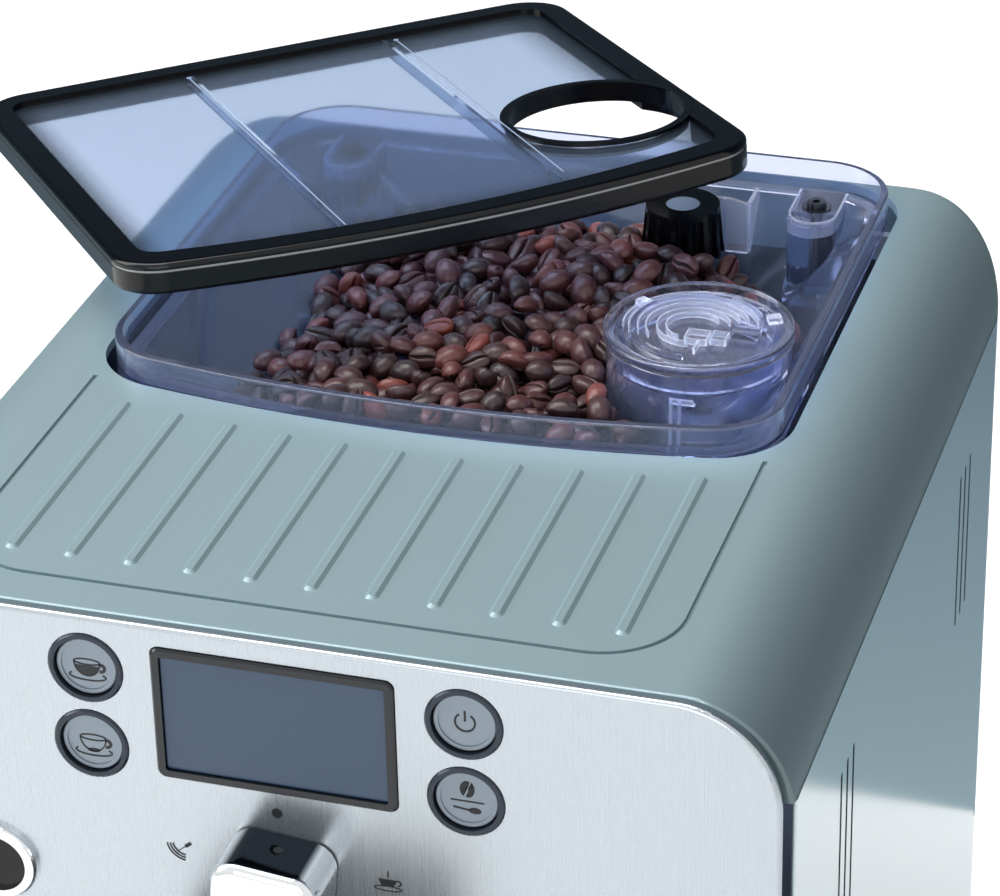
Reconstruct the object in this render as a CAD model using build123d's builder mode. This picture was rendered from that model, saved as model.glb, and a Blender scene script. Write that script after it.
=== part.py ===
from build123d import *
import os

os.makedirs("parts", exist_ok=True)

# Whole machine. The origin is on the counter, under the middle of the casing.
body_width = 256
body_depth = 293
top_height = 303
foot_height = 8
chassis_floor = 3
overrun = 2
seat_gap = 0.3
slide_gap = 0.5
running_gap = 0.06

screw_head_radius = 2.8
screw_head_height = 2
screw_shank_radius = 1.5
screw_bite = 6
screw_socket_radius = 1.2
screw_socket_depth = 1

front_y = -body_depth / 2
rear_y = body_depth / 2
side_x = body_width / 2
chassis_floor_z = foot_height + chassis_floor

# Casing: painted top cover, steel side panels, wrapped rear cover
cover_wall = 2.6
long_edge_radius = 29
seam_drop = 25.4
plan_corner_radius = 34
rear_edge_radius = 5
cover_setback = 5.5
cover_lip_radius = 1.2
panel_thickness = 1.2
panel_front_setback = 7.5
rear_wrap = 57
skirt_height = 12

seam_z = top_height - seam_drop
cover_front_y = front_y + cover_setback
panel_front_y = front_y + panel_front_setback
panel_rear_y = rear_y - rear_wrap
panel_length = panel_rear_y - panel_front_y
panel_inner_x = side_x - panel_thickness
casing_inner_x = side_x - cover_wall

# Cup area on the top cover: a fine groove round eleven low ribs
groove_side_setback = 34.3
groove_front_setback = 18
groove_radius = 22
groove_width = 1.3
groove_depth = 0.9
rib_count = 11
rib_side_margin = 14.35
rib_width = 3.8
rib_height = 0.8
rib_taper = 50
rib_front_setback = 28
rib_rear_margin = 10

groove_half_width = side_x - groove_side_setback
rib_pitch = 2 * (groove_half_width - rib_side_margin) / (rib_count - 1)

# Hopper opening and the bean hopper
opening_side_setback = 31.6
opening_setback_share = 0.67853
hopper_room = 130
opening_rear_margin = 4.6
opening_radius = 22
plan_bow = 10
hopper_gap = 2.9
rim_height = 7.3
rim_wall = 2
rim_corner_radius = 21
rim_edge_radius = 0.8
ledge_width = 4.6
ledge_drop = 1.5
ledge_thickness = 2.2
hopper_wall = 2.2
hopper_depth = 52
funnel_floor_width = 52
funnel_floor_length = 56
funnel_corner_radius = 10
outlet_radius = 16
spigot_wall = 2
spigot_length = 8
tab_width = 14
tab_length = 27
tab_hole_radius = 1.7
tab_share = 0.7417
tab_hole_setback = 12.5
boss_depth = 27.5
post_width = 10
post_depth = 13

opening_half_width = side_x - opening_side_setback
opening_front_y = front_y + opening_setback_share * (body_depth - hopper_room)
opening_rear_y = rear_y - opening_rear_margin
rim_half_width = opening_half_width - hopper_gap
rim_front_y = opening_front_y + hopper_gap / 2
rim_rear_y = opening_rear_y - hopper_gap / 2
rim_top_z = top_height + rim_height
ledge_z = top_height - ledge_drop
hopper_floor_z = top_height - hopper_depth
tab_screw_y = rim_rear_y - rim_wall - tab_hole_setback
boss_bottom_z = ledge_z - boss_depth
tab_x = tab_share * opening_half_width

# Doser for ground coffee, standing in the hopper
doser_margin = 4.3
doser_radius = 25.2
doser_wall = 2.2
doser_rise = 6.5
doser_lid_radius = 26
doser_lid_thickness = 3
doser_lid_floor = 1
doser_lid_rim = 2.6
doser_lid_edge_radius = 0.8
doser_skirt_depth = 6
doser_rib_width = 1.1
doser_rib_height = 1.8
doser_rib_pitch = 3.6
doser_rib_count = 5
doser_tab_length = 7
doser_tab_width = 5

doser_top_z = top_height + doser_rise
doser_x = rim_half_width - rim_wall - doser_margin - doser_radius

# Grinder: bean inlet above, burrs in a round housing, motor below the shelf
grinder_side_share = 0.32258
grinder_setback = 71.9
housing_radius = 38
housing_head_gap = 6.3
housing_floor = 6
throat_room = 14
burr_radius = 31
burr_bore_radius = 14
burr_thickness = 9
burr_gap = 2.5
burr_groove_count = 12
burr_groove_width = 3
burr_groove_depth = 2
motor_radius = 29
motor_height_share = 0.3505
motor_rim = 4
motor_fin_count = 16
motor_fin_depth = 2
motor_fin_width = 4
burr_clearance = 2
housing_chamfer = 2
shelf_hole_radius = 6
port_width = 14
port_height = 9
drive_radius = 4
drive_reach = 26
chute_cup_radius = 23.2
chute_gap = 0.57
adjuster_side = 15.3
adjuster_top_rise = 3
adjuster_height = 15
adjuster_top_radius = 10.8
adjuster_base_radius = 12.2
flute_count = 14
flute_radius = 1.7
flute_setback = 0.7
flute_stop = 1.5
adjuster_shaft_radius = 5.4
adjuster_pin_radius = 3
pinion_radius = 4.4
pinion_height = 6
pinion_rise = 26
inlay_radius = 5
inlay_depth = 1.2
inlay_sink = 0.3
shelf_thickness = 3.5

grinder_room = housing_floor + burr_clearance + 2 * burr_thickness + burr_gap + throat_room
housing_height = grinder_room - housing_head_gap
shelf_top_z = hopper_floor_z - grinder_room
shelf_z = shelf_top_z - shelf_thickness
works_height = shelf_z - chassis_floor_z
motor_height = motor_height_share * works_height
burr_low_z = shelf_top_z + housing_floor + burr_clearance
burr_high_z = burr_low_z + 2 * burr_thickness + burr_gap
port_z = burr_low_z + burr_thickness + burr_gap / 2
grinder_x = grinder_side_share * doser_x
grinder_y = opening_rear_y - grinder_setback
doser_reach = housing_radius + chute_cup_radius + chute_gap
doser_y = grinder_y - (doser_reach ** 2 - (doser_x - grinder_x) ** 2) ** (1 / 2)
pinion_reach = housing_radius + pinion_radius + seat_gap
adjuster_x = grinder_x + adjuster_side
adjuster_y = grinder_y + (pinion_reach ** 2 - adjuster_side ** 2) ** (1 / 2)
port_run = Vector(doser_x - grinder_x, doser_y - grinder_y, 0)
adjuster_top_z = top_height + adjuster_top_rise
adjuster_base_z = adjuster_top_z - adjuster_height

# Hopper lid, which lies turned and tilted on the hopper rim
lid_width = 188
lid_depth = 171.5
lid_bow = 10.8
lid_corner_radius = 15
lid_height = 9.2
lid_top_thickness = 2.1
lid_edge_radius = 1.4
lid_margin = 8
lid_rebate_width = 3
lid_panel_recess = 1
lid_panel_thickness = 2
lid_panel_gap = 0.2
lid_trim_height = 0.8
lid_trim_inset = 0.5
lid_trim_depth = 2.2
lid_hole_x = 64.2
lid_hole_y = -26
lid_hole_radius = 28.2
lid_hole_rim = 2.4
lid_hole_sleeve = 1.2
lid_hole_depth = 5
lid_rib_width = 1.2
lid_rib_height = 4
lid_rib_left_x = -28.2
lid_rib_rear_gap = 1
lid_rib_left_length = 123
lid_rib_right_length = 139
lid_turn = 38.4
lid_tilt = -6
lid_roll = -0.7
lid_place_x = -59
lid_place_y = 97.2
lid_place_rise = 22.7

lid_rib_right_x = lid_hole_x - lid_hole_radius - lid_rib_width
lid_rib_places = [(lid_rib_left_x, lid_rib_left_length), (lid_rib_right_x, lid_rib_right_length)]

# Front: steel fascia, black backing, lower front panel
fascia_side_setback = 2
fascia_rise = 1.5
fascia_drop = 131
fascia_thickness = 1.5
fascia_edge_radius = 1.2
fascia_foot_radius = 3
control_gap = 0.2
board_gap = 0.3
board_half_width = 60
board_low_drop = 44
board_high_drop = 7
board_thickness = 1.6
switch_size = 6
switch_height = 1.2
standoff_x = 35
mount_boss_inset = 14
mount_boss_rise = 12
mount_boss_radius = 3.5
backing_inset = 1.6
backing_wall = 4
lower_panel_setback = 2
lower_panel_thickness = 2.5
tray_head_gap = 4

fascia_half_width = side_x - fascia_side_setback
mount_boss_x = fascia_half_width - mount_boss_inset
fascia_top_z = top_height + fascia_rise
fascia_bottom_z = top_height - fascia_drop
fascia_radius = long_edge_radius - (side_x - fascia_half_width)
fascia_back_y = front_y + fascia_thickness
board_low_z = top_height - board_low_drop
board_high_z = top_height - board_high_drop
backing_back_y = fascia_back_y + backing_wall
lower_panel_y = front_y + lower_panel_setback
lower_panel_back_y = lower_panel_y + lower_panel_thickness

# Controls on the fascia
button_x = 48.4
button_upper_drop = 13
button_lower_drop = 35.05
button_ring_radius = 9.75
button_ring_wall = 1.45
button_ring_rise = 0.5
button_gap = 0.3
button_recess = 1.1
button_dish_depth = 0.35
button_rim = 1.3
button_stem_radius = 2.4
button_ring_chamfer = 0.4
button_travel = 1
bezel_width = 62.2
bezel_height = 37.4
bezel_drop = 22.7
bezel_rise = 0.9
bezel_rim = 2.3
bezel_radius = 2.4
bezel_chamfer = 0.5
window_radius = 0.8
screen_recess = 0.9
selector_x = 0.3
selector_drop = 66.8
selector_width = 27.4
selector_radius = 6.5
selector_length = 17.5
selector_edge_radius = 2.6
selector_gap = 0.6
selector_turn = -6
selector_shaft_radius = 3
selector_shaft_reach = 34
valve_radius = 13
valve_length = 26
badge_inset = 49
badge_drop = 75
badge_radius = 11
badge_ring_wall = 2.8
badge_rise = 2.4
badge_disc_rise = 1

button_upper_z = top_height - button_upper_drop
button_lower_z = top_height - button_lower_drop
bezel_z = top_height - bezel_drop
window_width = bezel_width - 2 * bezel_rim
window_height = bezel_height - 2 * bezel_rim
selector_z = top_height - selector_drop
badge_x = badge_inset - fascia_half_width
badge_z = top_height - badge_drop
button_places = [
    (-button_x, button_upper_z),
    (-button_x, button_lower_z),
    (button_x, button_upper_z),
    (button_x, button_lower_z),
]
button_radius = button_ring_radius - button_ring_wall - button_gap
button_front_y = front_y + button_recess - button_ring_rise

# Side vents in the right panel
vent_pitch = 6.95
vent_width = 2
vent_count = 3
vent_top_drop = 50.6
vent_front_setback = 57.9
vent_front_length = 96
vent_rear_margin = 24.3
vent_rear_length = 49.4

vent_front_y = front_y + vent_front_setback
vent_rear_y = panel_rear_y - vent_rear_margin
vent_groups = [(vent_front_y, vent_front_length), (vent_rear_y, vent_rear_length)]

# Drip tray, grate and float
tray_reach = 110
tray_side_setback = 28
tray_entry = 49.5
tray_top_z = 56
tray_wall = 2.6
tray_radius = 26
tray_ledge = 3
grate_thickness = 3
grate_slot_count = 9
grate_slot_width = 5
grate_slot_pitch = 10
grate_slot_margin = 15
grate_rise = 1.5
float_radius = 6
float_hole_gap = 1
float_setback = 14
float_height = 40
float_bore_radius = 2.4
guide_pin_radius = 2
pin_height = 34

tray_half_width = side_x - tray_side_setback
tray_front_y = front_y - tray_reach
tray_rear_y = front_y + tray_entry
tray_bottom_z = chassis_floor_z + seat_gap
grate_z = tray_top_z - grate_thickness
float_y = tray_front_y + float_setback + float_radius

# Inner carcass: chassis, bulkheads, machine shelf, brew bay
chassis_wall = 3
chassis_wall_height = 18
tongue_side_setback = 4
tongue_reach = 96
rail_inset = 8
rail_width = 5
carcass_margin = 2
bulkhead_thickness = 3
front_bulkhead_setback = 9.5
rear_bulkhead_setback = 25.5
leg_inset = 21
rear_notch_width = 3.4
hopper_window_inset = 5.4
hopper_window_gap = 4
standoff_radius = 1.8
works_side_setback = 40
shelf_margin = 4
bay_side_setback = 7
bay_inner_gap = 3
bay_wall = 2
bay_share = 0.46825
bay_edge_gap = 3
brew_floor_share = 0.405
drawer_sill = 0.5
bay_floor_thickness = 3
puck_window_width = 50
puck_window_length = 11

front_bulkhead_y = front_y + front_bulkhead_setback
front_bulkhead_back_y = front_bulkhead_y + bulkhead_thickness
rear_bulkhead_back_y = rear_y - rear_bulkhead_setback
rear_bulkhead_y = rear_bulkhead_back_y - bulkhead_thickness
bulkhead_half_width = casing_inner_x - carcass_margin
tongue_half_width = tray_half_width - tongue_side_setback
hopper_window_half_width = opening_half_width - hopper_window_inset
hopper_window_z = hopper_floor_z - hopper_window_gap
works_x = side_x - works_side_setback
works_length = rear_bulkhead_y - front_bulkhead_back_y
bay_outer_x = bay_side_setback - side_x
bay_wall_y = front_bulkhead_back_y + bay_share * works_length
lower_panel_bottom_z = tray_top_z + tray_head_gap
drawer_floor_z = lower_panel_bottom_z + drawer_sill
brew_floor_z = drawer_floor_z + brew_floor_share * (shelf_z - drawer_floor_z)

# Feet
foot_radius = 12
foot_chamfer = 1.2
foot_side_setback = 22
foot_setback = 24
front_foot_side_setback = 30
front_foot_setback = 16.5

foot_x = side_x - foot_side_setback
foot_y = rear_y - foot_setback
front_foot_x = tray_half_width - front_foot_side_setback
front_foot_y = front_y - tongue_reach + front_foot_setback

foot_places = [
    (-foot_x, -foot_y),
    (foot_x, -foot_y),
    (-foot_x, foot_y),
    (foot_x, foot_y),
    (-front_foot_x, front_foot_y),
    (front_foot_x, front_foot_y),
]

# Service door on the left side, hinged at its rear edge
door_front_setback = 15.5
door_rear_lap = 3.4
door_bottom_z = 34.6
door_top_drop = 42.2
door_gap = 0.6
door_hinge_gap = 2.2
door_rib_depth = 4.2
door_rib_width = 5
hinge_pin_radius = 1.5
hinge_knuckle_radius = 2.6
hinge_inset = 3.6
hinge_pin_length = 4.8
bracket_height = 4.7
bracket_reach = 6.8
bracket_half_length = 4.5

door_front_y = front_y + door_front_setback
door_rear_y = bay_wall_y + door_rear_lap
door_top_z = seam_z - door_top_drop
hinge_x = -side_x + hinge_inset
hinge_y = door_rear_y - hinge_knuckle_radius

# Water tank in the left side
tank_front_gap = 16
tank_rear_gap = 7.5
tank_inner_x = -22
tank_bottom_z = 30
tank_top_drop = 8
tank_wall = 2.2
tank_radius = 8
tank_lid_thickness = 2.4
tank_grip_share = 0.488
tank_grip_height = 16
tank_grip_depth = 9
tank_lid_inset = 1
tank_opening_gap = 1
valve_spigot_radius = 5
valve_spigot_length = 9
valve_block_width = 10
valve_block_length = 24
valve_z = 44
valve_block_height = 46

tank_front_y = bay_wall_y + tank_front_gap
tank_rear_y = panel_rear_y - tank_rear_gap
tank_top_z = shelf_z - tank_top_drop
tank_grip_width = tank_grip_share * (tank_rear_y - tank_front_y)
valve_face_x = tank_inner_x + seat_gap + valve_block_width
valve_top_z = chassis_floor_z + valve_block_height

# Brew group and its piston
brew_width = 80
brew_front_gap = 12
brew_rear_gap = 16
brew_head_gap = 4
brew_bore_radius = 19.1
brew_bore_share = 0.5823
brew_pocket_depth = 8
brew_pocket_margin = 9
brew_handle_width = 46
brew_handle_height = 14
brew_handle_depth = 5
brew_corner_radius = 4
brew_pocket_radius = 3
piston_height = 9
piston_rod_radius = 5
piston_rod_share = 0.3291
seal_depth = 1.5
chute_width = 16
chute_height = 14
chute_wall = 1.6
chute_mouth_radius = 18
chute_flange = 3

brew_bottom_z = brew_floor_z + bay_floor_thickness
brew_top_z = shelf_z - brew_head_gap
brew_height = brew_top_z - brew_bottom_z
brew_bore_depth = brew_bore_share * brew_height
piston_rod_length = piston_rod_share * brew_height
brew_depth = bay_wall_y - front_bulkhead_back_y - brew_front_gap - brew_rear_gap
brew_y = front_bulkhead_back_y + brew_front_gap + brew_depth / 2
brew_x = bay_outer_x + brew_width / 2
bay_inner_x = bay_outer_x + brew_width + bay_inner_gap

# Grounds drawer
drawer_left_gap = 2
drawer_right_gap = 6
drawer_rear_gap = 6
drawer_head_gap = 3.2
drawer_wall = 2
drawer_gap = 0.6
drawer_grip_width = 46
drawer_grip_height = 14
drawer_grip_depth = 10
drawer_grip_radius = 3

drawer_bottom_z = drawer_floor_z + bay_floor_thickness + seat_gap
drawer_top_z = brew_floor_z - drawer_head_gap
drawer_height = drawer_top_z - drawer_bottom_z
drawer_left_x = bay_outer_x + drawer_left_gap
drawer_right_x = bay_inner_x - drawer_right_gap
drawer_rear_y = bay_wall_y - drawer_rear_gap

# Coffee dispenser in front of the fascia
dispenser_half_width = 33
dispenser_reach = 58
dispenser_hang = 20
dispenser_lap = 40
dispenser_wall = 2.5
dispenser_radius = 16
dispenser_edge_radius = 4
carriage_gap = 0.4
carriage_top_gap = 8
carriage_drop = 8
carriage_wall = 2
nozzle_x = 12
nozzle_radius = 6.5
nozzle_tip_radius = 4.5
nozzle_bore_radius = 3
nozzle_length = 12
nozzle_setback = 43.5

dispenser_bottom_z = fascia_bottom_z - dispenser_hang
dispenser_top_z = fascia_bottom_z + dispenser_lap

# Steam wand on the right of the front
wand_setback = 13
wand_top_gap = 4
socket_radius = 9
socket_height = 16
socket_cap = 2
socket_web = 10
wand_pipe_radius = 4
wand_fall_share = 0.254
wand_bend_radius = 14
wand_slope = 0.445
wand_drop_share = 0.3175
sleeve_radius = 7.5
sleeve_tip_radius = 5.5
sleeve_length_share = 0.4656
sleeve_overlap_share = 0.1481
steam_tube_radius = 3

wand_y = front_y - wand_setback
wand_top_z = fascia_bottom_z - wand_top_gap
steam_tube_z = wand_top_z - socket_height / 2
wand_room = wand_top_z - socket_height - tray_top_z - grate_rise
wand_fall = wand_fall_share * wand_room
wand_drop = wand_drop_share * wand_room
sleeve_length = sleeve_length_share * wand_room
sleeve_overlap = sleeve_overlap_share * wand_room

# Boiler, pump, flow meter and hoses
boiler_share = 0.37302
boiler_radius = 28
boiler_height_share = 0.40206
boiler_flange_radius = 33
boiler_flange_height = 6
boiler_band_height = 6
boiler_band_rise = 1.2
boiler_port_radius = 5
boiler_port_length = 4
boiler_inlet_rise = 21
pump_radius = 18
pump_height_share = 0.3505
pump_stand_height = 25
pump_mount_height = 6
pump_mount_bore_radius = 9
pump_post_radius = 3
pump_post_spread = 14
pump_mount_radius = 28
pump_port_radius = 5
pump_port_length = 5
pump_band_shares = [0.2, 0.68]
meter_spread = 58
meter_radius = 16
meter_height = 16
meter_chamfer = 1.5
hose_radius = 3.5
hose_bend_radius = 12
meter_port_z = 19

pump_bottom_z = chassis_floor_z + pump_stand_height + pump_mount_height
pump_height = pump_height_share * works_height
pump_top_z = pump_bottom_z + pump_height
pump_y = (tank_front_y + tank_rear_y) / 2
meter_x = works_x - meter_spread
boiler_y = front_bulkhead_back_y + boiler_share * works_length
boiler_height = boiler_height_share * works_height
boiler_bottom_z = shelf_z - boiler_flange_height - boiler_height
boiler_inlet_z = boiler_bottom_z + boiler_inlet_rise

# Mains inlet and switch in the rear cover, and the cover's screws
inlet_side_setback = 56
inlet_z = 50
inlet_width = 27
inlet_height = 20
inlet_depth = 20
inlet_corner = 4
inlet_margin = 5
inlet_plate_thickness = 2
inlet_wall = 1.6
inlet_pin_length = 12
inlet_pin_width = 4
inlet_pin_thickness = 2
inlet_pin_spacing = 7
rocker_spread = 36
rocker_width = 13
rocker_height = 20
rocker_gap = 0.9
rocker_wall = 2.2
rocker_case_depth = 12
rocker_pivot_depth = 3
rocker_rise = 1.6
rocker_tilt = 7
axle_radius = 1
rear_screw_side_setback = 42
rear_screw_low_z = 21
rear_screw_drop = 68
rear_boss_radius = 4

inlet_x = inlet_side_setback - side_x
rocker_x = inlet_x + rocker_spread
rear_screw_x = side_x - rear_screw_side_setback
rear_screw_high_z = top_height - rear_screw_drop
rocker_case_width = rocker_width + 2 * (rocker_gap + rocker_wall)
rocker_case_height = rocker_height + 2 * (rocker_gap + rocker_wall)
rear_screw_places = [
    (-rear_screw_x, rear_screw_low_z),
    (rear_screw_x, rear_screw_low_z),
    (-rear_screw_x, rear_screw_high_z),
    (rear_screw_x, rear_screw_high_z),
]


def at_x(x):
    """Upright plane across X at x, facing right: Y runs along it and Z up it."""
    return Plane.YZ.offset(x)


def at_y(y):
    """Upright plane across Y at y, facing the front: X runs along it and Z up it."""
    return Plane.XZ.offset(-y)


def at_z(z):
    """Level plane at height z."""
    return Plane.XY.offset(z)


def slab(x, y, z, mode=Mode.ADD, radius=0):
    """Block between the two ends given on each axis, with round upright corners if asked."""
    with BuildSketch(at_z(min(z))) as footprint:
        with Locations((sum(x) / 2, sum(y) / 2)):
            Rectangle(max(x) - min(x), max(y) - min(y))
        if radius:
            fillet(footprint.vertices(), radius)
    extrude(footprint.sketch, amount=max(z) - min(z), mode=mode)


def drum(x, y, z, radius, mode=Mode.ADD):
    """Upright cylinder between two heights."""
    with BuildSketch(at_z(min(z))) as disc:
        with Locations((x, y)):
            Circle(radius)
    extrude(disc.sketch, amount=max(z) - min(z), mode=mode)


def rod(x, y, z, radius, mode=Mode.ADD):
    """Level cylinder between two ends along Y."""
    with BuildSketch(at_y(max(y))) as disc:
        with Locations((x, z)):
            Circle(radius)
    extrude(disc.sketch, amount=max(y) - min(y), mode=mode)


def bowed_plan(half_width, front, rear, bow, radius):
    """Outline seen from above, whose front edge bows forward between round corners."""
    with BuildSketch() as plan:
        with BuildLine():
            ThreePointArc((-half_width, front + bow), (0, front), (half_width, front + bow))
            Polyline(
                (half_width, front + bow),
                (half_width, rear),
                (-half_width, rear),
                (-half_width, front + bow),
            )
        make_face()
        fillet(plan.vertices(), radius)
    return plan.sketch


def casing_plan(inset):
    """Outline of the casing seen from above, square in front and round at the rear corners."""
    with BuildSketch() as plan:
        Rectangle(body_width - 2 * inset, body_depth - 2 * inset)
        fillet(plan.vertices().group_by(Axis.Y)[-1], plan_corner_radius - inset)
    return plan.sketch


def casing_arch(inset, low_z, half_width=side_x, top_z=top_height, radius=long_edge_radius):
    """Front outline of the casing above low_z, with its two long edges rounded."""
    with BuildSketch() as arch:
        with Locations((0, (low_z + top_z - inset) / 2)):
            Rectangle(2 * (half_width - inset), top_z - inset - low_z)
        fillet(arch.vertices().group_by(Axis.Y)[-1], radius - inset)
    return arch.sketch


def cup_field(inset):
    """Area round the ribs, seen from above, with round front corners."""
    front = front_y + groove_front_setback + inset
    rear = opening_front_y + plan_bow - groove_width
    with BuildSketch() as field:
        with Locations((0, (front + rear) / 2)):
            Rectangle(2 * (groove_half_width - inset), rear - front)
        fillet(field.vertices().group_by(Axis.Y)[0], groove_radius - inset)
    return field.sketch


def hopper_plan(inset):
    """Hopper outline seen from above, drawn in by the inset."""
    radius = rim_corner_radius - inset
    return bowed_plan(rim_half_width - inset, rim_front_y + inset, rim_rear_y - inset, plan_bow, radius)


def funnel_floor(inset):
    """Small flat floor of the funnel round the bean outlet."""
    width = funnel_floor_width - 2 * inset
    length = funnel_floor_length - 2 * inset
    with BuildSketch() as floor:
        with Locations((grinder_x, grinder_y)):
            RectangleRounded(width, length, funnel_corner_radius - inset)
    return floor.sketch


def screw_tab(x):
    """Tongue that runs forward from the rear wall and ends round about its screw."""
    end_y = rim_rear_y - rim_wall - tab_length + tab_width / 2
    with BuildSketch() as tab:
        with Locations((x, (end_y + rim_rear_y - rim_wall) / 2)):
            Rectangle(tab_width, rim_rear_y - rim_wall - end_y)
        with Locations((x, end_y)):
            Circle(tab_width / 2)
    return tab.sketch


def lid_plan(inset):
    """Lid outline about its own middle, drawn in by the inset."""
    half_width = lid_width / 2 - inset
    half_depth = lid_depth / 2 - inset
    return bowed_plan(half_width, -half_depth, half_depth, lid_bow, lid_corner_radius - inset)


def tray_plan(inset):
    """Drip tray outline seen from above, with round front corners."""
    front = tray_front_y + inset
    rear = tray_rear_y - inset
    with BuildSketch() as plan:
        with Locations((0, (front + rear) / 2)):
            Rectangle(2 * (tray_half_width - inset), rear - front)
        fillet(plan.vertices().group_by(Axis.Y)[0], tray_radius - inset)
    return plan.sketch


def dispenser_plan(inset):
    """Coffee dispenser outline seen from above, with round front corners."""
    front = front_y - dispenser_reach + inset
    rear = front_y - inset
    with BuildSketch() as plan:
        with Locations((0, (front + rear) / 2)):
            Rectangle(2 * (dispenser_half_width - inset), rear - front)
        fillet(plan.vertices().group_by(Axis.Y)[0], dispenser_radius - inset)
    return plan.sketch


def fascia_outline(inset):
    """Front outline of the fascia, drawn in by the inset."""
    low_z = fascia_bottom_z + inset
    high_z = fascia_top_z - inset
    with BuildSketch() as outline:
        with Locations((0, (low_z + high_z) / 2)):
            Rectangle(2 * (fascia_half_width - inset), high_z - low_z)
        fillet(outline.vertices().group_by(Axis.Y)[-1], fascia_radius - inset)
        fillet(outline.vertices().group_by(Axis.Y)[0], fascia_foot_radius)
    return outline.sketch


def cut_controls(y, thickness):
    """Openings for the button rings, the display and the selector shaft, cut towards the front."""
    with BuildSketch(at_y(y)) as openings:
        with Locations(*button_places):
            Circle(button_ring_radius + control_gap)
        with Locations((0, bezel_z)):
            RectangleRounded(bezel_width + 2 * control_gap, bezel_height + 2 * control_gap, bezel_radius)
        with Locations((selector_x, selector_z)):
            Circle(selector_shaft_radius + seat_gap)
    extrude(openings.sketch, amount=thickness, mode=Mode.SUBTRACT)


def cover_block(inset):
    """The top cover's outer form, or the space inside it when inset by the wall."""
    with BuildPart() as block:
        with BuildSketch(at_y(cover_front_y)):
            add(casing_arch(inset, top_height - long_edge_radius - overrun))
        extrude(amount=-(rear_y - cover_front_y))
        with BuildSketch(at_z(seam_z)):
            add(casing_plan(inset))
        extrude(amount=top_height - seam_z, mode=Mode.INTERSECT)
        rear_edges = block.edges().filter_by(
            lambda edge: edge.center().Z > seam_z + cover_wall
            and edge.center().Y > rear_y - plan_corner_radius / 2
        )
        fillet(rear_edges.filter_by(Axis.Z, reverse=True).filter_by(Axis.Y, reverse=True),
               rear_edge_radius - inset / 2)
    return block.part


# Top cover
cover_inside = cover_block(cover_wall)
cover_outside = cover_block(0)
with BuildPart() as top_cover:
    add(cover_outside)
    front_lip = top_cover.faces().sort_by(Axis.Y)[0].edges().sort_by(Axis.Z)[1:]
    fillet(front_lip, cover_lip_radius)
    add(cover_inside, mode=Mode.SUBTRACT)
    with BuildSketch(at_z(top_height - cover_wall)):
        add(bowed_plan(opening_half_width, opening_front_y, opening_rear_y, plan_bow, opening_radius))
    extrude(amount=cover_wall + overrun, both=True, mode=Mode.SUBTRACT)
    with BuildSketch(at_z(top_height)):
        add(cup_field(0))
        add(cup_field(groove_width), mode=Mode.SUBTRACT)
        with Locations((0, opening_front_y + plan_bow)):
            Rectangle(2 * (groove_half_width - groove_width), 2 * groove_radius, mode=Mode.SUBTRACT)
    extrude(amount=-groove_depth, mode=Mode.SUBTRACT)
    for index in range(rib_count):
        rib_x = (index - (rib_count - 1) / 2) * rib_pitch
        rib_front = front_y + rib_front_setback
        rib_rear = opening_front_y + plan_bow * (rib_x / opening_half_width) ** 2 - rib_rear_margin
        with BuildSketch(at_z(top_height)):
            with Locations((rib_x, (rib_front + rib_rear) / 2)):
                SlotOverall(rib_rear - rib_front, rib_width, rotation=90)
        extrude(amount=rib_height, taper=rib_taper)
top_cover.part.label = "top_cover"
export_step(top_cover.part, "parts/top_cover.step")

# Bean hopper: upright rim, ledge, funnel to the grinder, doser tube, knob post, screw bosses
with BuildPart() as hopper:
    with BuildSketch(at_z(ledge_z - ledge_thickness)):
        add(hopper_plan(0))
    extrude(amount=rim_top_z - ledge_z + ledge_thickness)
    with BuildSketch(at_z(ledge_z)):
        add(hopper_plan(rim_wall))
    extrude(amount=rim_top_z - ledge_z, mode=Mode.SUBTRACT)
    fillet(hopper.faces().sort_by(Axis.Z)[-1].outer_wire().edges(), rim_edge_radius)
    with BuildSketch(at_z(ledge_z - ledge_thickness)):
        add(hopper_plan(rim_wall + ledge_width - hopper_wall))
    with BuildSketch(at_z(hopper_floor_z)):
        add(funnel_floor(0))
    loft()
    with BuildSketch(at_z(ledge_z)):
        add(hopper_plan(rim_wall + ledge_width))
    with BuildSketch(at_z(hopper_floor_z + hopper_wall)):
        add(funnel_floor(hopper_wall))
    loft(mode=Mode.SUBTRACT)
    for side in (-1, 1):
        with BuildSketch(at_z(boss_bottom_z)):
            add(screw_tab(side * tab_x))
        extrude(amount=ledge_z - boss_bottom_z)
        hole_z = (boss_bottom_z - overrun, ledge_z + overrun)
        drum(side * tab_x, tab_screw_y, hole_z, tab_hole_radius, Mode.SUBTRACT)
    drum(doser_x, doser_y, (hopper_floor_z, doser_top_z), doser_radius)
    tube_z = (hopper_floor_z - overrun, doser_top_z + overrun)
    drum(doser_x, doser_y, tube_z, doser_radius - doser_wall, Mode.SUBTRACT)
    drum(adjuster_x, adjuster_y, (hopper_floor_z, adjuster_base_z - seat_gap), adjuster_shaft_radius)
    pin_z = (hopper_floor_z - overrun, adjuster_base_z)
    drum(adjuster_x, adjuster_y, pin_z, adjuster_pin_radius + running_gap, Mode.SUBTRACT)
    spigot_z = (hopper_floor_z - spigot_length, hopper_floor_z + hopper_wall)
    drum(grinder_x, grinder_y, spigot_z, outlet_radius + spigot_wall)
    outlet_z = (spigot_z[0] - overrun, spigot_z[1] + overrun)
    drum(grinder_x, grinder_y, outlet_z, outlet_radius, Mode.SUBTRACT)
hopper.part.label = "hopper"
export_step(hopper.part, "parts/hopper.step")

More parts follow.
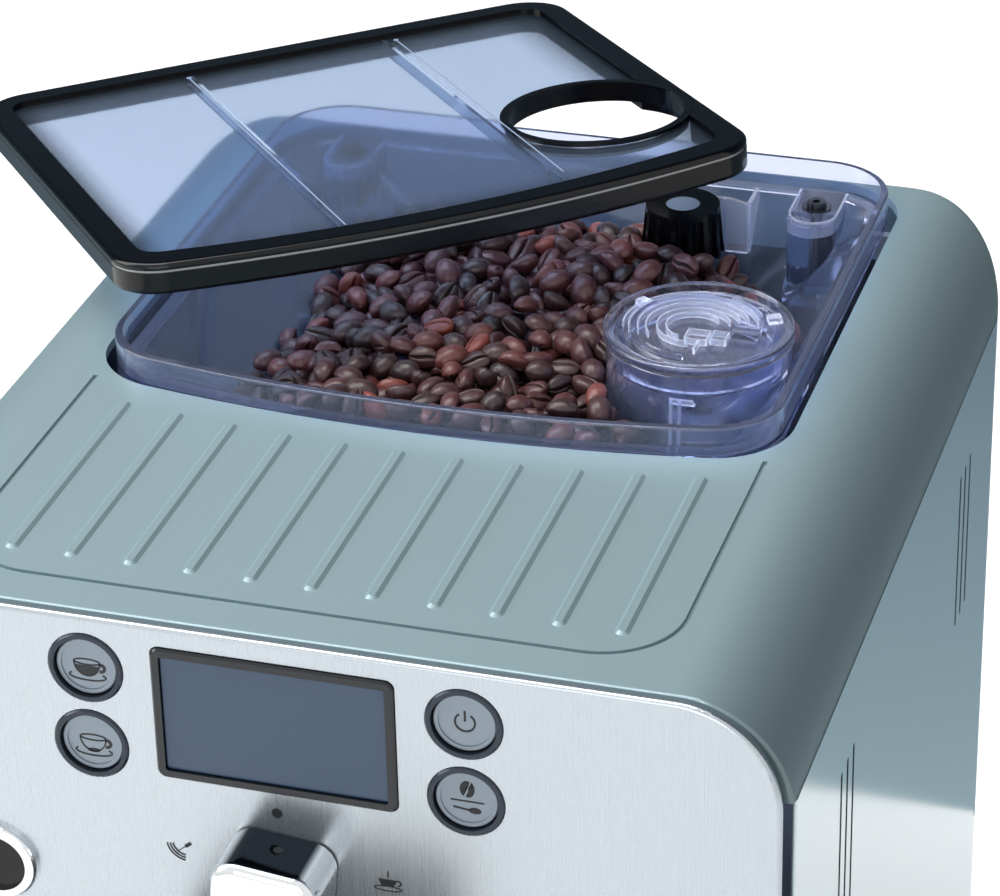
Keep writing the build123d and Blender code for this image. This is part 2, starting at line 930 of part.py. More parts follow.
# Two screws that hold the hopper down
with BuildPart() as hopper_screws:
    for side in (-1, 1):
        drum(side * tab_x, tab_screw_y, (ledge_z, ledge_z + screw_head_height), screw_head_radius)
        shank_z = (boss_bottom_z - screw_bite, ledge_z)
        drum(side * tab_x, tab_screw_y, shank_z, screw_shank_radius)
        with BuildSketch(at_z(ledge_z + screw_head_height)):
            with Locations((side * tab_x, tab_screw_y)):
                RegularPolygon(screw_socket_radius, 6)
        extrude(amount=-screw_socket_depth, mode=Mode.SUBTRACT)
hopper_screws.part.label = "hopper_screws"
export_step(hopper_screws.part, "parts/hopper_screws.step")

# Doser lid: clear cap with a raised rim, arc ribs and a lifting tab
with BuildPart() as doser_lid:
    lid_base_z = doser_top_z + seat_gap
    lid_floor_z = lid_base_z + doser_lid_floor
    lid_rim_z = lid_base_z + doser_lid_thickness
    drum(doser_x, doser_y, (lid_base_z, lid_rim_z), doser_lid_radius)
    fillet(doser_lid.faces().sort_by(Axis.Z)[-1].edges(), doser_lid_edge_radius)
    drum(doser_x, doser_y, (lid_floor_z, lid_rim_z), doser_lid_radius - doser_lid_rim, Mode.SUBTRACT)
    skirt_radius = doser_radius - doser_wall - seat_gap
    skirt_z = (lid_base_z - doser_skirt_depth, lid_base_z)
    drum(doser_x, doser_y, skirt_z, skirt_radius)
    drum(doser_x, doser_y, skirt_z, skirt_radius - doser_wall, Mode.SUBTRACT)
    with BuildSketch(at_z(lid_floor_z)):
        for index in range(doser_rib_count):
            rib_radius = doser_rib_pitch * (index + 1)
            with Locations((doser_x, doser_y)):
                Circle(rib_radius + doser_rib_width / 2)
                Circle(rib_radius - doser_rib_width / 2, mode=Mode.SUBTRACT)
        with Locations((doser_x + doser_lid_radius / 2, doser_y - doser_lid_radius / 2)):
            Rectangle(doser_lid_radius, doser_lid_radius, mode=Mode.SUBTRACT)
        with Locations((doser_x + doser_lid_radius / 2, doser_y)):
            Rectangle(doser_tab_length, doser_tab_width)
    extrude(amount=doser_rib_height)
doser_lid.part.label = "doser_lid"
export_step(doser_lid.part, "parts/doser_lid.step")

# Grind adjusting knob with its pinion shaft, and the inlay in its top
pinion_low_z = shelf_top_z + pinion_rise
with BuildPart() as grinder_knob:
    with BuildSketch(at_z(adjuster_base_z)):
        with Locations((adjuster_x, adjuster_y)):
            Circle(adjuster_base_radius)
    with BuildSketch(at_z(adjuster_top_z)):
        with Locations((adjuster_x, adjuster_y)):
            Circle(adjuster_top_radius)
    loft()
    with BuildSketch(at_z(adjuster_base_z)):
        with Locations((adjuster_x, adjuster_y)):
            with PolarLocations(adjuster_base_radius - flute_setback, flute_count):
                Circle(flute_radius)
    extrude(amount=adjuster_height - flute_stop, mode=Mode.SUBTRACT)
    inlay_z = (adjuster_top_z - inlay_depth, adjuster_top_z)
    drum(adjuster_x, adjuster_y, inlay_z, inlay_radius, Mode.SUBTRACT)
    drum(adjuster_x, adjuster_y, (pinion_low_z, adjuster_base_z), adjuster_pin_radius)
    drum(adjuster_x, adjuster_y, (pinion_low_z, pinion_low_z + pinion_height), pinion_radius)
grinder_knob.part.label = "grinder_knob"
export_step(grinder_knob.part, "parts/grinder_knob.step")

with BuildPart() as knob_inlay:
    drum(adjuster_x, adjuster_y, (adjuster_top_z - inlay_depth, adjuster_top_z - inlay_sink), inlay_radius)
knob_inlay.part.label = "knob_inlay"
export_step(knob_inlay.part, "parts/knob_inlay.step")

# Hopper lid: black frame with a pale trim strip let into its edge, smoked panel, rimmed hole
lid_spot = Pos(lid_place_x, lid_place_y, top_height + lid_place_rise)
lid_plane = Plane(lid_spot * Rot(Z=lid_turn) * Rot(Y=lid_roll) * Rot(X=lid_tilt))
lid_up = Axis(lid_plane.origin, lid_plane.z_dir)
with BuildPart() as lid_frame:
    with BuildSketch(lid_plane):
        add(lid_plan(0))
    extrude(amount=-lid_height)
    fillet(lid_frame.faces().sort_by(lid_up)[-1].edges(), lid_edge_radius)
    fillet(lid_frame.faces().sort_by(lid_up)[0].edges(), lid_edge_radius)
    with BuildSketch(lid_plane.offset(-lid_top_thickness)):
        add(lid_plan(-overrun))
        add(lid_plan(lid_trim_inset + lid_trim_depth), mode=Mode.SUBTRACT)
    extrude(amount=-lid_trim_height, mode=Mode.SUBTRACT)
    with BuildSketch(lid_plane):
        add(lid_plan(lid_margin))
    extrude(amount=-lid_height, mode=Mode.SUBTRACT)
    with BuildSketch(lid_plane.offset(-lid_panel_recess)):
        add(lid_plan(lid_margin - lid_rebate_width))
    extrude(amount=-lid_panel_thickness, mode=Mode.SUBTRACT)
    with BuildSketch(lid_plane):
        with Locations((lid_hole_x, lid_hole_y)):
            Circle(lid_hole_radius + lid_panel_gap)
    extrude(amount=-lid_height, mode=Mode.SUBTRACT)
lid_frame.part.label = "lid_frame"
export_step(lid_frame.part, "parts/lid_frame.step")

with BuildPart() as lid_trim:
    with BuildSketch(lid_plane.offset(-lid_top_thickness)):
        add(lid_plan(lid_trim_inset))
        add(lid_plan(lid_trim_inset + lid_trim_depth), mode=Mode.SUBTRACT)
        with Locations((lid_hole_x, lid_hole_y)):
            Circle(lid_hole_radius + lid_panel_gap, mode=Mode.SUBTRACT)
    extrude(amount=-lid_trim_height)
lid_trim.part.label = "lid_trim"
export_step(lid_trim.part, "parts/lid_trim.step")

with BuildPart() as lid_panel:
    with BuildSketch(lid_plane.offset(-lid_panel_recess)):
        add(lid_plan(lid_margin - lid_rebate_width + lid_panel_gap))
        with Locations((lid_hole_x, lid_hole_y)):
            Circle(lid_hole_radius - lid_hole_rim + lid_hole_sleeve + lid_panel_gap, mode=Mode.SUBTRACT)
    extrude(amount=-lid_panel_thickness)
    rib_rear_y = lid_depth / 2 - lid_margin - lid_rib_rear_gap
    with BuildSketch(lid_plane.offset(-lid_panel_recess - lid_panel_thickness)):
        for rib_x, rib_length in lid_rib_places:
            with Locations((rib_x, rib_rear_y - rib_length / 2)):
                Rectangle(lid_rib_width, rib_length)
    extrude(amount=-lid_rib_height)
lid_panel.part.label = "lid_panel"
export_step(lid_panel.part, "parts/lid_panel.step")

with BuildPart() as lid_hole_ring:
    with BuildSketch(lid_plane.offset(-lid_panel_recess)):
        with Locations((lid_hole_x, lid_hole_y)):
            Circle(lid_hole_radius)
            Circle(lid_hole_radius - lid_hole_rim, mode=Mode.SUBTRACT)
    extrude(amount=lid_panel_recess)
    with BuildSketch(lid_plane.offset(-lid_panel_recess)):
        with Locations((lid_hole_x, lid_hole_y)):
            Circle(lid_hole_radius - lid_hole_rim + lid_hole_sleeve)
            Circle(lid_hole_radius - lid_hole_rim, mode=Mode.SUBTRACT)
    extrude(amount=-lid_hole_depth)
lid_hole_ring.part.label = "lid_hole_ring"
export_step(lid_hole_ring.part, "parts/lid_hole_ring.step")

# Steel fascia with its rounded edge, and openings for the controls
with BuildPart() as front_fascia:
    with BuildSketch(at_y(fascia_back_y)):
        add(fascia_outline(0))
    extrude(amount=fascia_thickness)
    fillet(front_fascia.faces().sort_by(Axis.Y)[0].edges(), fascia_edge_radius)
    cut_controls(fascia_back_y, fascia_thickness)
front_fascia.part.label = "front_fascia"
export_step(front_fascia.part, "parts/front_fascia.step")

# Black backing behind the fascia, on standoffs to the front bulkhead
with BuildPart() as fascia_backing:
    with BuildSketch(at_y(backing_back_y)):
        add(fascia_outline(backing_inset))
    extrude(amount=backing_wall)
    cut_controls(backing_back_y, backing_wall)
    with BuildSketch(at_y(backing_back_y)):
        with Locations((0, (board_low_z + board_high_z) / 2)):
            with GridLocations(2 * standoff_x, board_high_z - board_low_z - 4 * standoff_radius, 2, 2):
                Circle(standoff_radius)
    extrude(amount=-(front_bulkhead_y - backing_back_y))
    with BuildSketch(at_y(backing_back_y)):
        with Locations((0, fascia_bottom_z + mount_boss_rise)):
            with GridLocations(2 * mount_boss_x, 0, 2, 1):
                Circle(mount_boss_radius)
    extrude(amount=-(front_bulkhead_y - backing_back_y))
fascia_backing.part.label = "fascia_backing"
export_step(fascia_backing.part, "parts/fascia_backing.step")

# Lower front panel, with the drawer's opening, a hole for the steam tube and the wand's socket
with BuildPart() as lower_front_panel:
    with BuildSketch(at_y(lower_panel_back_y)):
        with Locations((0, (lower_panel_bottom_z + fascia_bottom_z) / 2)):
            Rectangle(2 * fascia_half_width, fascia_bottom_z - lower_panel_bottom_z)
        with Locations(((drawer_left_x + drawer_right_x) / 2, (drawer_bottom_z + drawer_top_z) / 2)):
            drawer_span = drawer_right_x - drawer_left_x + 2 * drawer_gap
            Rectangle(drawer_span, drawer_height + 2 * drawer_gap, mode=Mode.SUBTRACT)
        with Locations((works_x, steam_tube_z)):
            Circle(steam_tube_radius + seat_gap, mode=Mode.SUBTRACT)
    extrude(amount=lower_panel_thickness)
    with BuildSketch(at_y(lower_panel_back_y)):
        with Locations((mount_boss_x, lower_panel_bottom_z + mount_boss_rise),
                       (mount_boss_x, fascia_bottom_z - mount_boss_rise),
                       (0, fascia_bottom_z - mount_boss_rise),
                       (0, lower_panel_bottom_z + mount_boss_rise)):
            Circle(mount_boss_radius)
    extrude(amount=-(front_bulkhead_y - lower_panel_back_y))
    socket_z = (wand_top_z - socket_height, wand_top_z)
    drum(works_x, wand_y, socket_z, socket_radius)
    slab((works_x - socket_web / 2, works_x + socket_web / 2), (wand_y, lower_panel_y), socket_z)
    pipe_hole_z = (wand_top_z - socket_height - overrun, wand_top_z - socket_cap)
    drum(works_x, wand_y, pipe_hole_z, wand_pipe_radius + running_gap, Mode.SUBTRACT)
lower_front_panel.part.label = "lower_front_panel"
export_step(lower_front_panel.part, "parts/lower_front_panel.step")

# Display: raised bezel through the fascia, and the screen module inside it
with BuildPart() as display_bezel:
    with BuildSketch(at_y(backing_back_y)):
        with Locations((0, bezel_z)):
            RectangleRounded(bezel_width, bezel_height, bezel_radius)
    extrude(amount=backing_back_y - front_y + bezel_rise)
    chamfer(display_bezel.faces().sort_by(Axis.Y)[0].edges(), bezel_chamfer)
    with BuildSketch(at_y(backing_back_y)):
        with Locations((0, bezel_z)):
            RectangleRounded(window_width, window_height, window_radius)
    extrude(amount=backing_back_y - front_y + bezel_rise, mode=Mode.SUBTRACT)
display_bezel.part.label = "display_bezel"
export_step(display_bezel.part, "parts/display_bezel.step")

with BuildPart() as display_screen:
    screen_y = front_y - bezel_rise + screen_recess
    with BuildSketch(at_y(front_bulkhead_y - seat_gap)):
        with Locations((0, bezel_z)):
            RectangleRounded(window_width - 2 * control_gap, window_height - 2 * control_gap, window_radius)
    extrude(amount=front_bulkhead_y - seat_gap - screen_y)
display_screen.part.label = "display_screen"
export_step(display_screen.part, "parts/display_screen.step")

# Control board behind the fascia, with one small switch behind each button
with BuildPart() as control_board:
    with BuildSketch(at_y(front_bulkhead_y + board_thickness)):
        with Locations((0, (board_low_z + board_high_z) / 2)):
            Rectangle(2 * board_half_width, board_high_z - board_low_z)
    extrude(amount=board_thickness)
    with BuildSketch(at_y(front_bulkhead_y)):
        with Locations(*button_places):
            Rectangle(switch_size, switch_size)
    extrude(amount=switch_height)
control_board.part.label = "control_board"
export_step(control_board.part, "parts/control_board.step")

# Button rings, set through fascia and backing
with BuildPart() as button_rings:
    with BuildSketch(at_y(backing_back_y)):
        with Locations(*button_places):
            Circle(button_ring_radius)
    extrude(amount=backing_back_y - front_y + button_ring_rise)
    ring_fronts = button_rings.faces().filter_by(Axis.Y).sort_by(Axis.Y)[: len(button_places)]
    chamfer(ring_fronts.edges(), button_ring_chamfer)
    with BuildSketch(at_y(backing_back_y)):
        with Locations(*button_places):
            Circle(button_ring_radius - button_ring_wall)
    extrude(amount=backing_back_y - front_y + button_ring_rise, mode=Mode.SUBTRACT)
button_rings.part.label = "button_rings"
export_step(button_rings.part, "parts/button_rings.step")

# Four push buttons: a dished cap with a stem towards its switch
button_names = ["button_cup_full", "button_cup_half", "button_power", "button_coffee"]
button_back_y = front_bulkhead_y - switch_height - button_travel - seat_gap
for button_name, place in zip(button_names, button_places):
    with BuildPart() as button:
        with BuildSketch(at_y(backing_back_y)):
            with Locations(place):
                Circle(button_radius)
        extrude(amount=backing_back_y - button_front_y)
        chamfer(button.faces().sort_by(Axis.Y)[0].edges(), button_dish_depth)
        with BuildSketch(at_y(button_front_y)):
            with Locations(place):
                Circle(button_radius - button_rim)
        extrude(amount=-button_dish_depth, mode=Mode.SUBTRACT)
        with BuildSketch(at_y(button_back_y)):
            with Locations(place):
                Circle(button_stem_radius)
        extrude(amount=button_back_y - backing_back_y)
    button.part.label = button_name
    export_step(button.part, f"parts/{button_name}.step")

# Selector: chrome knob turned a little from upright, its shaft in the steam and water valve
with BuildPart() as selector_knob:
    knob_back_y = front_y - selector_gap
    with BuildSketch(at_y(knob_back_y)):
        with Locations(Location((selector_x, selector_z), selector_turn)):
            RectangleRounded(selector_width, selector_width, selector_radius)
    extrude(amount=selector_length)
    fillet(selector_knob.faces().sort_by(Axis.Y)[0].edges(), selector_edge_radius)
    with BuildSketch(at_y(knob_back_y)):
        with Locations((selector_x, selector_z)):
            Circle(selector_shaft_radius)
    extrude(amount=-selector_shaft_reach)
selector_knob.part.label = "selector_knob"
export_step(selector_knob.part, "parts/selector_knob.step")

with BuildPart() as selector_valve:
    with BuildSketch(at_y(front_bulkhead_back_y)):
        with Locations((selector_x, selector_z)):
            Circle(valve_radius)
            Circle(selector_shaft_radius + running_gap, mode=Mode.SUBTRACT)
    extrude(amount=-valve_length)
selector_valve.part.label = "selector_valve"
export_step(selector_valve.part, "parts/selector_valve.step")

# Round plain badge: chrome ring with a bare dark disc
with BuildPart() as badge_ring:
    with BuildSketch(at_y(front_y)):
        with Locations((badge_x, badge_z)):
            Circle(badge_radius)
    extrude(amount=badge_rise)
    fillet(badge_ring.faces().sort_by(Axis.Y)[0].edges(), badge_rise / 2)
    with BuildSketch(at_y(front_y)):
        with Locations((badge_x, badge_z)):
            Circle(badge_radius - badge_ring_wall)
    extrude(amount=badge_rise, mode=Mode.SUBTRACT)
badge_ring.part.label = "badge_ring"
export_step(badge_ring.part, "parts/badge_ring.step")

with BuildPart() as badge_disc:
    with BuildSketch(at_y(front_y)):
        with Locations((badge_x, badge_z)):
            Circle(badge_radius - badge_ring_wall)
    extrude(amount=badge_disc_rise)
badge_disc.part.label = "badge_disc"
export_step(badge_disc.part, "parts/badge_disc.step")

# Side panels: steel sheets; the right has vents, the left frames the tank and carries the door
with BuildPart() as right_side_panel:
    with BuildSketch(at_x(panel_inner_x)):
        with Locations(((panel_front_y + panel_rear_y) / 2, (skirt_height + seam_z) / 2)):
            Rectangle(panel_length, seam_z - skirt_height)
        for group_y, length in vent_groups:
            for index in range(vent_count):
                vent_y = group_y + index * vent_pitch
                with Locations((vent_y, top_height - vent_top_drop - length / 2)):
                    SlotOverall(length, vent_width, rotation=90, mode=Mode.SUBTRACT)
    extrude(amount=panel_thickness)
right_side_panel.part.label = "right_side_panel"
export_step(right_side_panel.part, "parts/right_side_panel.step")

with BuildPart() as left_side_panel:
    with BuildSketch(at_x(-side_x)):
        with Locations(((panel_front_y + panel_rear_y) / 2, (skirt_height + seam_z) / 2)):
            Rectangle(panel_length, seam_z - skirt_height)
        door_low_y = door_front_y - door_gap
        door_high_y = door_rear_y + door_hinge_gap
        with Locations(((door_low_y + door_high_y) / 2, (door_bottom_z + door_top_z) / 2)):
            door_span_z = door_top_z - door_bottom_z + 2 * door_gap
            Rectangle(door_high_y - door_low_y, door_span_z, mode=Mode.SUBTRACT)
        tank_high_z = tank_top_z + tank_lid_thickness
        with Locations(((tank_front_y + tank_rear_y) / 2, (tank_bottom_z + tank_high_z) / 2)):
            tank_span_y = tank_rear_y - tank_front_y + 2 * tank_opening_gap
            tank_span_z = tank_high_z - tank_bottom_z + 2 * tank_opening_gap
            Rectangle(tank_span_y, tank_span_z, mode=Mode.SUBTRACT)
    extrude(amount=panel_thickness)
    bracket_x = (-panel_inner_x, -panel_inner_x + bracket_reach)
    bracket_y = (hinge_y - bracket_half_length, hinge_y + bracket_half_length)
    for bracket_z in (door_bottom_z - door_gap, door_top_z + door_gap + bracket_height):
        slab(bracket_x, bracket_y, (bracket_z - bracket_height, bracket_z))
    bracket_bore_z = (door_bottom_z - 2 * bracket_height, door_top_z + 2 * bracket_height)
    drum(hinge_x, hinge_y, bracket_bore_z, hinge_pin_radius + running_gap, Mode.SUBTRACT)
left_side_panel.part.label = "left_side_panel"
export_step(left_side_panel.part, "parts/left_side_panel.step")

# Rear cover: wraps both rear corners, with openings for the inlet and the switch
with BuildPart() as rear_cover:
    with BuildSketch(at_z(skirt_height)):
        add(casing_plan(0))
        add(casing_plan(cover_wall), mode=Mode.SUBTRACT)
        with Locations((0, panel_rear_y - body_depth / 2)):
            Rectangle(body_width + overrun, body_depth, mode=Mode.SUBTRACT)
    extrude(amount=seam_z - skirt_height)
    with BuildSketch(at_y(rear_y)):
        with Locations((inlet_x, inlet_z)):
            Rectangle(inlet_width + 2 * control_gap, inlet_height + 2 * control_gap)
        with Locations((rocker_x, inlet_z)):
            Rectangle(rocker_case_width + 2 * control_gap, rocker_case_height + 2 * control_gap)
        with Locations(*rear_screw_places):
            Circle(screw_shank_radius + control_gap)
    extrude(amount=plan_corner_radius / 2, both=True, mode=Mode.SUBTRACT)
rear_cover.part.label = "rear_cover"
export_step(rear_cover.part, "parts/rear_cover.step")

# Four screws in the rear cover
with BuildPart() as rear_screws:
    for x, z in rear_screw_places:
        rod(x, (rear_y, rear_y + screw_head_height), z, screw_head_radius)
        rod(x, (rear_y - cover_wall - screw_bite, rear_y), z, screw_shank_radius)
    with BuildSketch(at_y(rear_y + screw_head_height)):
        with Locations(*rear_screw_places):
            RegularPolygon(screw_socket_radius, 6)
    extrude(amount=screw_socket_depth, mode=Mode.SUBTRACT)
rear_screws.part.label = "rear_screws"
export_step(rear_screws.part, "parts/rear_screws.step")

# Moulded plate with the mains inlet socket and the case of the rocker switch
inlet_low_x = inlet_x - inlet_width / 2 - inlet_margin
inlet_high_x = rocker_x + rocker_case_width / 2 + inlet_margin
plate_height = rocker_case_height + 2 * inlet_margin
case_front_y = rear_y - rocker_case_depth
with BuildPart() as power_inlet:
    with BuildSketch(at_y(rear_y)):
        with Locations(((inlet_low_x + inlet_high_x) / 2, inlet_z)):
            RectangleRounded(inlet_high_x - inlet_low_x, plate_height, inlet_corner)
    extrude(amount=-inlet_plate_thickness)
    with BuildSketch(at_y(rear_y)):
        with Locations((inlet_x, inlet_z)):
            Rectangle(inlet_width, inlet_height)
    extrude(amount=inlet_depth)
    with BuildSketch(at_y(rear_y)):
        with Locations((rocker_x, inlet_z)):
            Rectangle(rocker_case_width, rocker_case_height)
    extrude(amount=rocker_case_depth)
    with BuildSketch(at_y(rear_y + inlet_plate_thickness)):
        with Locations((inlet_x, inlet_z)):
            RectangleRounded(inlet_width - 2 * inlet_wall, inlet_height - 2 * inlet_wall, inlet_corner)
    extrude(amount=inlet_plate_thickness + inlet_depth - inlet_wall, mode=Mode.SUBTRACT)
    with BuildSketch(at_y(rear_y + inlet_plate_thickness)):
        with Locations((rocker_x, inlet_z)):
            Rectangle(rocker_case_width - 2 * rocker_wall, rocker_case_height - 2 * rocker_wall)
    extrude(amount=inlet_plate_thickness + rocker_case_depth - rocker_wall, mode=Mode.SUBTRACT)
    with BuildSketch(at_y(rear_y - inlet_depth + inlet_wall)):
        with Locations(
            (inlet_x - inlet_pin_spacing, inlet_z),
            (inlet_x, inlet_z + inlet_pin_thickness),
            (inlet_x + inlet_pin_spacing, inlet_z),
        ):
            Rectangle(inlet_pin_thickness, inlet_pin_width)
    extrude(amount=-inlet_pin_length)
    with BuildSketch(at_x(rocker_x - rocker_case_width / 2 + seat_gap)):
        with Locations((rear_y - rocker_pivot_depth, inlet_z)):
            Circle(axle_radius)
    extrude(amount=rocker_case_width - 2 * seat_gap)
power_inlet.part.label = "power_inlet"
export_step(power_inlet.part, "parts/power_inlet.step")

# Rocker on the axle inside its case, tipped to its off side
with BuildPart() as power_rocker:
    rocker_spot = Pos(rocker_x - rocker_width / 2, rear_y - rocker_pivot_depth, inlet_z)
    rocker_plane = Plane(rocker_spot * Rot(X=rocker_tilt) * Plane.YZ.location)
    rocker_face = rocker_pivot_depth + inlet_plate_thickness
    rocker_low = -axle_radius - rocker_wall
    with BuildSketch(rocker_plane):
        with BuildLine():
            Polyline(
                (rocker_low, -rocker_height / 4),
                (rocker_face, -rocker_height / 2),
                (rocker_face + rocker_rise, -rocker_height / 2),
                (rocker_face, 0),
                (rocker_face + rocker_rise, rocker_height / 2),
                (rocker_face, rocker_height / 2),
                (rocker_low, rocker_height / 4),
                close=True,
            )
        make_face()
        Circle(axle_radius + running_gap, mode=Mode.SUBTRACT)
    extrude(amount=rocker_width)
power_rocker.part.label = "power_rocker"
export_step(power_rocker.part, "parts/power_rocker.step")

# Rubber feet
with BuildPart() as rubber_feet:
    with BuildSketch(at_z(0)):
        with Locations(*foot_places):
            Circle(foot_radius)
    extrude(amount=foot_height)
    chamfer(rubber_feet.faces().filter_by(Axis.Z).group_by(Axis.Z)[0].edges(), foot_chamfer)
rubber_feet.part.label = "rubber_feet"
export_step(rubber_feet.part, "parts/rubber_feet.step")

# Base chassis: floor, side walls with a slot for the drip tray, tongue under the tray,
# rails under the water tank, posts under the pump
with BuildPart() as base_chassis:
    chassis_top_z = chassis_floor_z + chassis_wall_height
    with BuildSketch(at_z(foot_height)):
        add(casing_plan(cover_wall))
        with Locations((0, (panel_front_y + panel_rear_y) / 2)):
            Rectangle(2 * panel_inner_x, panel_length)
    extrude(amount=chassis_floor + chassis_wall_height)
    inner_top = (chassis_floor_z, chassis_top_z + overrun)
    with BuildSketch(at_z(chassis_floor_z)):
        add(casing_plan(cover_wall + chassis_wall))
        with Locations((0, (panel_front_y + panel_rear_y) / 2)):
            Rectangle(2 * (panel_inner_x - chassis_wall), panel_length)
    extrude(amount=chassis_wall_height + overrun, mode=Mode.SUBTRACT)
    slot_half_width = tray_half_width + drawer_gap
    slab((-slot_half_width, slot_half_width), (front_y, panel_front_y), inner_top, Mode.SUBTRACT)
    tongue_y = (front_y - tongue_reach, panel_front_y)
    slab((-tongue_half_width, tongue_half_width), tongue_y, (foot_height, chassis_floor_z))
    for rail_y in (tank_front_y + rail_inset, tank_rear_y - rail_inset):
        rail_x = (-casing_inner_x, tank_inner_x - seat_gap)
        rail_span = (rail_y - rail_width / 2, rail_y + rail_width / 2)
        slab(rail_x, rail_span, (chassis_floor_z, tank_bottom_z - seat_gap))
    for spread_x in (-pump_post_spread, pump_post_spread):
        for spread_y in (-pump_post_spread, pump_post_spread):
            post_z = (chassis_floor_z, chassis_floor_z + pump_stand_height)
            drum(works_x + spread_x, pump_y + spread_y, post_z, pump_post_radius)
    for x in (-rear_screw_x, rear_screw_x):
        hole_y = (rear_y - cover_wall - screw_bite - overrun, rear_y)
        rod(x, hole_y, rear_screw_low_z, screw_shank_radius + running_gap, Mode.SUBTRACT)
base_chassis.part.label = "base_chassis"
export_step(base_chassis.part, "parts/base_chassis.step")

# Front bulkhead: upright frame that carries the fascia, with openings for board, drawer and tubes
with BuildPart() as front_bulkhead:
    with BuildSketch(at_y(front_bulkhead_back_y)):
        add(casing_arch(0, chassis_floor_z, bulkhead_half_width, top_height - cover_wall - carcass_margin,
                        long_edge_radius - cover_wall - carcass_margin))
        with Locations((0, (board_low_z + board_high_z) / 2)):
            board_height = board_high_z - board_low_z
            Rectangle(2 * (board_half_width + board_gap), board_height + 2 * board_gap, mode=Mode.SUBTRACT)
        with Locations(((drawer_left_x + drawer_right_x) / 2, (drawer_bottom_z + drawer_top_z) / 2)):
            Rectangle(drawer_right_x - drawer_left_x + 2 * drawer_gap, drawer_height + 2 * drawer_gap,
                      mode=Mode.SUBTRACT)
        with Locations((0, (lower_panel_bottom_z + chassis_floor_z) / 2)):
            Rectangle(2 * (bulkhead_half_width - leg_inset), lower_panel_bottom_z - chassis_floor_z,
                      mode=Mode.SUBTRACT)
        with Locations((selector_x, selector_z)):
            Circle(selector_shaft_radius + seat_gap, mode=Mode.SUBTRACT)
        with Locations((works_x, steam_tube_z)):
            Circle(steam_tube_radius + seat_gap, mode=Mode.SUBTRACT)
    extrude(amount=bulkhead_thickness)
front_bulkhead.part.label = "front_bulkhead"
export_step(front_bulkhead.part, "parts/front_bulkhead.step")

# Rear bulkhead: open at the top for the hopper, with posts for its screws and the rear cover's
with BuildPart() as rear_bulkhead:
    with BuildSketch(at_y(rear_bulkhead_back_y)):
        add(casing_arch(0, chassis_floor_z, bulkhead_half_width, top_height - cover_wall - carcass_margin,
                        long_edge_radius - cover_wall - carcass_margin))
        with Locations((0, hopper_window_z + top_height / 2)):
            Rectangle(2 * hopper_window_half_width, top_height, mode=Mode.SUBTRACT)
        with Locations((0, chassis_floor_z)):
            with GridLocations(2 * bulkhead_half_width, 0, 2, 1):
                notch_height = 2 * (chassis_wall_height + carcass_margin)
                Rectangle(2 * rear_notch_width, notch_height, mode=Mode.SUBTRACT)
    extrude(amount=bulkhead_thickness)
    for side in (-1, 1):
        post_x = (side * tab_x - post_width / 2, side * tab_x + post_width / 2)
        post_y = (rear_bulkhead_y, rear_bulkhead_y + post_depth)
        slab(post_x, post_y, (hopper_window_z - post_width, boss_bottom_z))
        post_hole_z = (boss_bottom_z - screw_bite - overrun, boss_bottom_z + overrun)
        drum(side * tab_x, tab_screw_y, post_hole_z, screw_shank_radius + running_gap, Mode.SUBTRACT)
        boss_y = (rear_bulkhead_y, rear_y - cover_wall)
        rod(side * rear_screw_x, boss_y, rear_screw_high_z, rear_boss_radius)
        boss_hole_y = (rear_y - cover_wall - screw_bite - overrun, rear_y)
        hole_radius = screw_shank_radius + running_gap
        rod(side * rear_screw_x, boss_hole_y, rear_screw_high_z, hole_radius, Mode.SUBTRACT)
rear_bulkhead.part.label = "rear_bulkhead"
export_step(rear_bulkhead.part, "parts/rear_bulkhead.step")

# Machine shelf between the bulkheads
with BuildPart() as machine_shelf:
    shelf_x = (bay_outer_x, panel_inner_x - shelf_margin)
    slab(shelf_x, (front_bulkhead_back_y, rear_bulkhead_y), (shelf_z, shelf_top_z))
    cut_z = (shelf_z - overrun, shelf_top_z + overrun)
    drum(brew_x, brew_y, cut_z, chute_mouth_radius + seat_gap, Mode.SUBTRACT)
    drum(grinder_x, grinder_y, cut_z, shelf_hole_radius, Mode.SUBTRACT)
machine_shelf.part.label = "machine_shelf"
export_step(machine_shelf.part, "parts/machine_shelf.step")

# Brew bay: rear and inner walls, drawer floor, and brew floor with the window the pucks drop through
with BuildPart() as brew_bay:
    bay_y = (front_bulkhead_back_y, bay_wall_y)
    bay_x = (bay_outer_x, bay_inner_x)
    slab((bay_outer_x + bay_edge_gap, bay_inner_x + bay_wall), (bay_wall_y, bay_wall_y + bay_wall),
         (chassis_floor_z, shelf_z))
    slab((bay_inner_x, bay_inner_x + bay_wall), bay_y, (drawer_floor_z, shelf_z))
    slab((bay_inner_x, bay_inner_x + bay_wall), (tray_rear_y + overrun, bay_wall_y),
         (chassis_floor_z, drawer_floor_z))
    slab(bay_x, bay_y, (drawer_floor_z, drawer_floor_z + bay_floor_thickness))
    slab(bay_x, bay_y, (brew_floor_z, brew_bottom_z))
    window_x = (brew_x - puck_window_width / 2, brew_x + puck_window_width / 2)
    window_y = (bay_wall_y - bay_wall - puck_window_length, bay_wall_y - bay_wall)
    slab(window_x, window_y, (brew_floor_z - overrun, brew_bottom_z + overrun), Mode.SUBTRACT)
brew_bay.part.label = "brew_bay"
export_step(brew_bay.part, "parts/brew_bay.step")

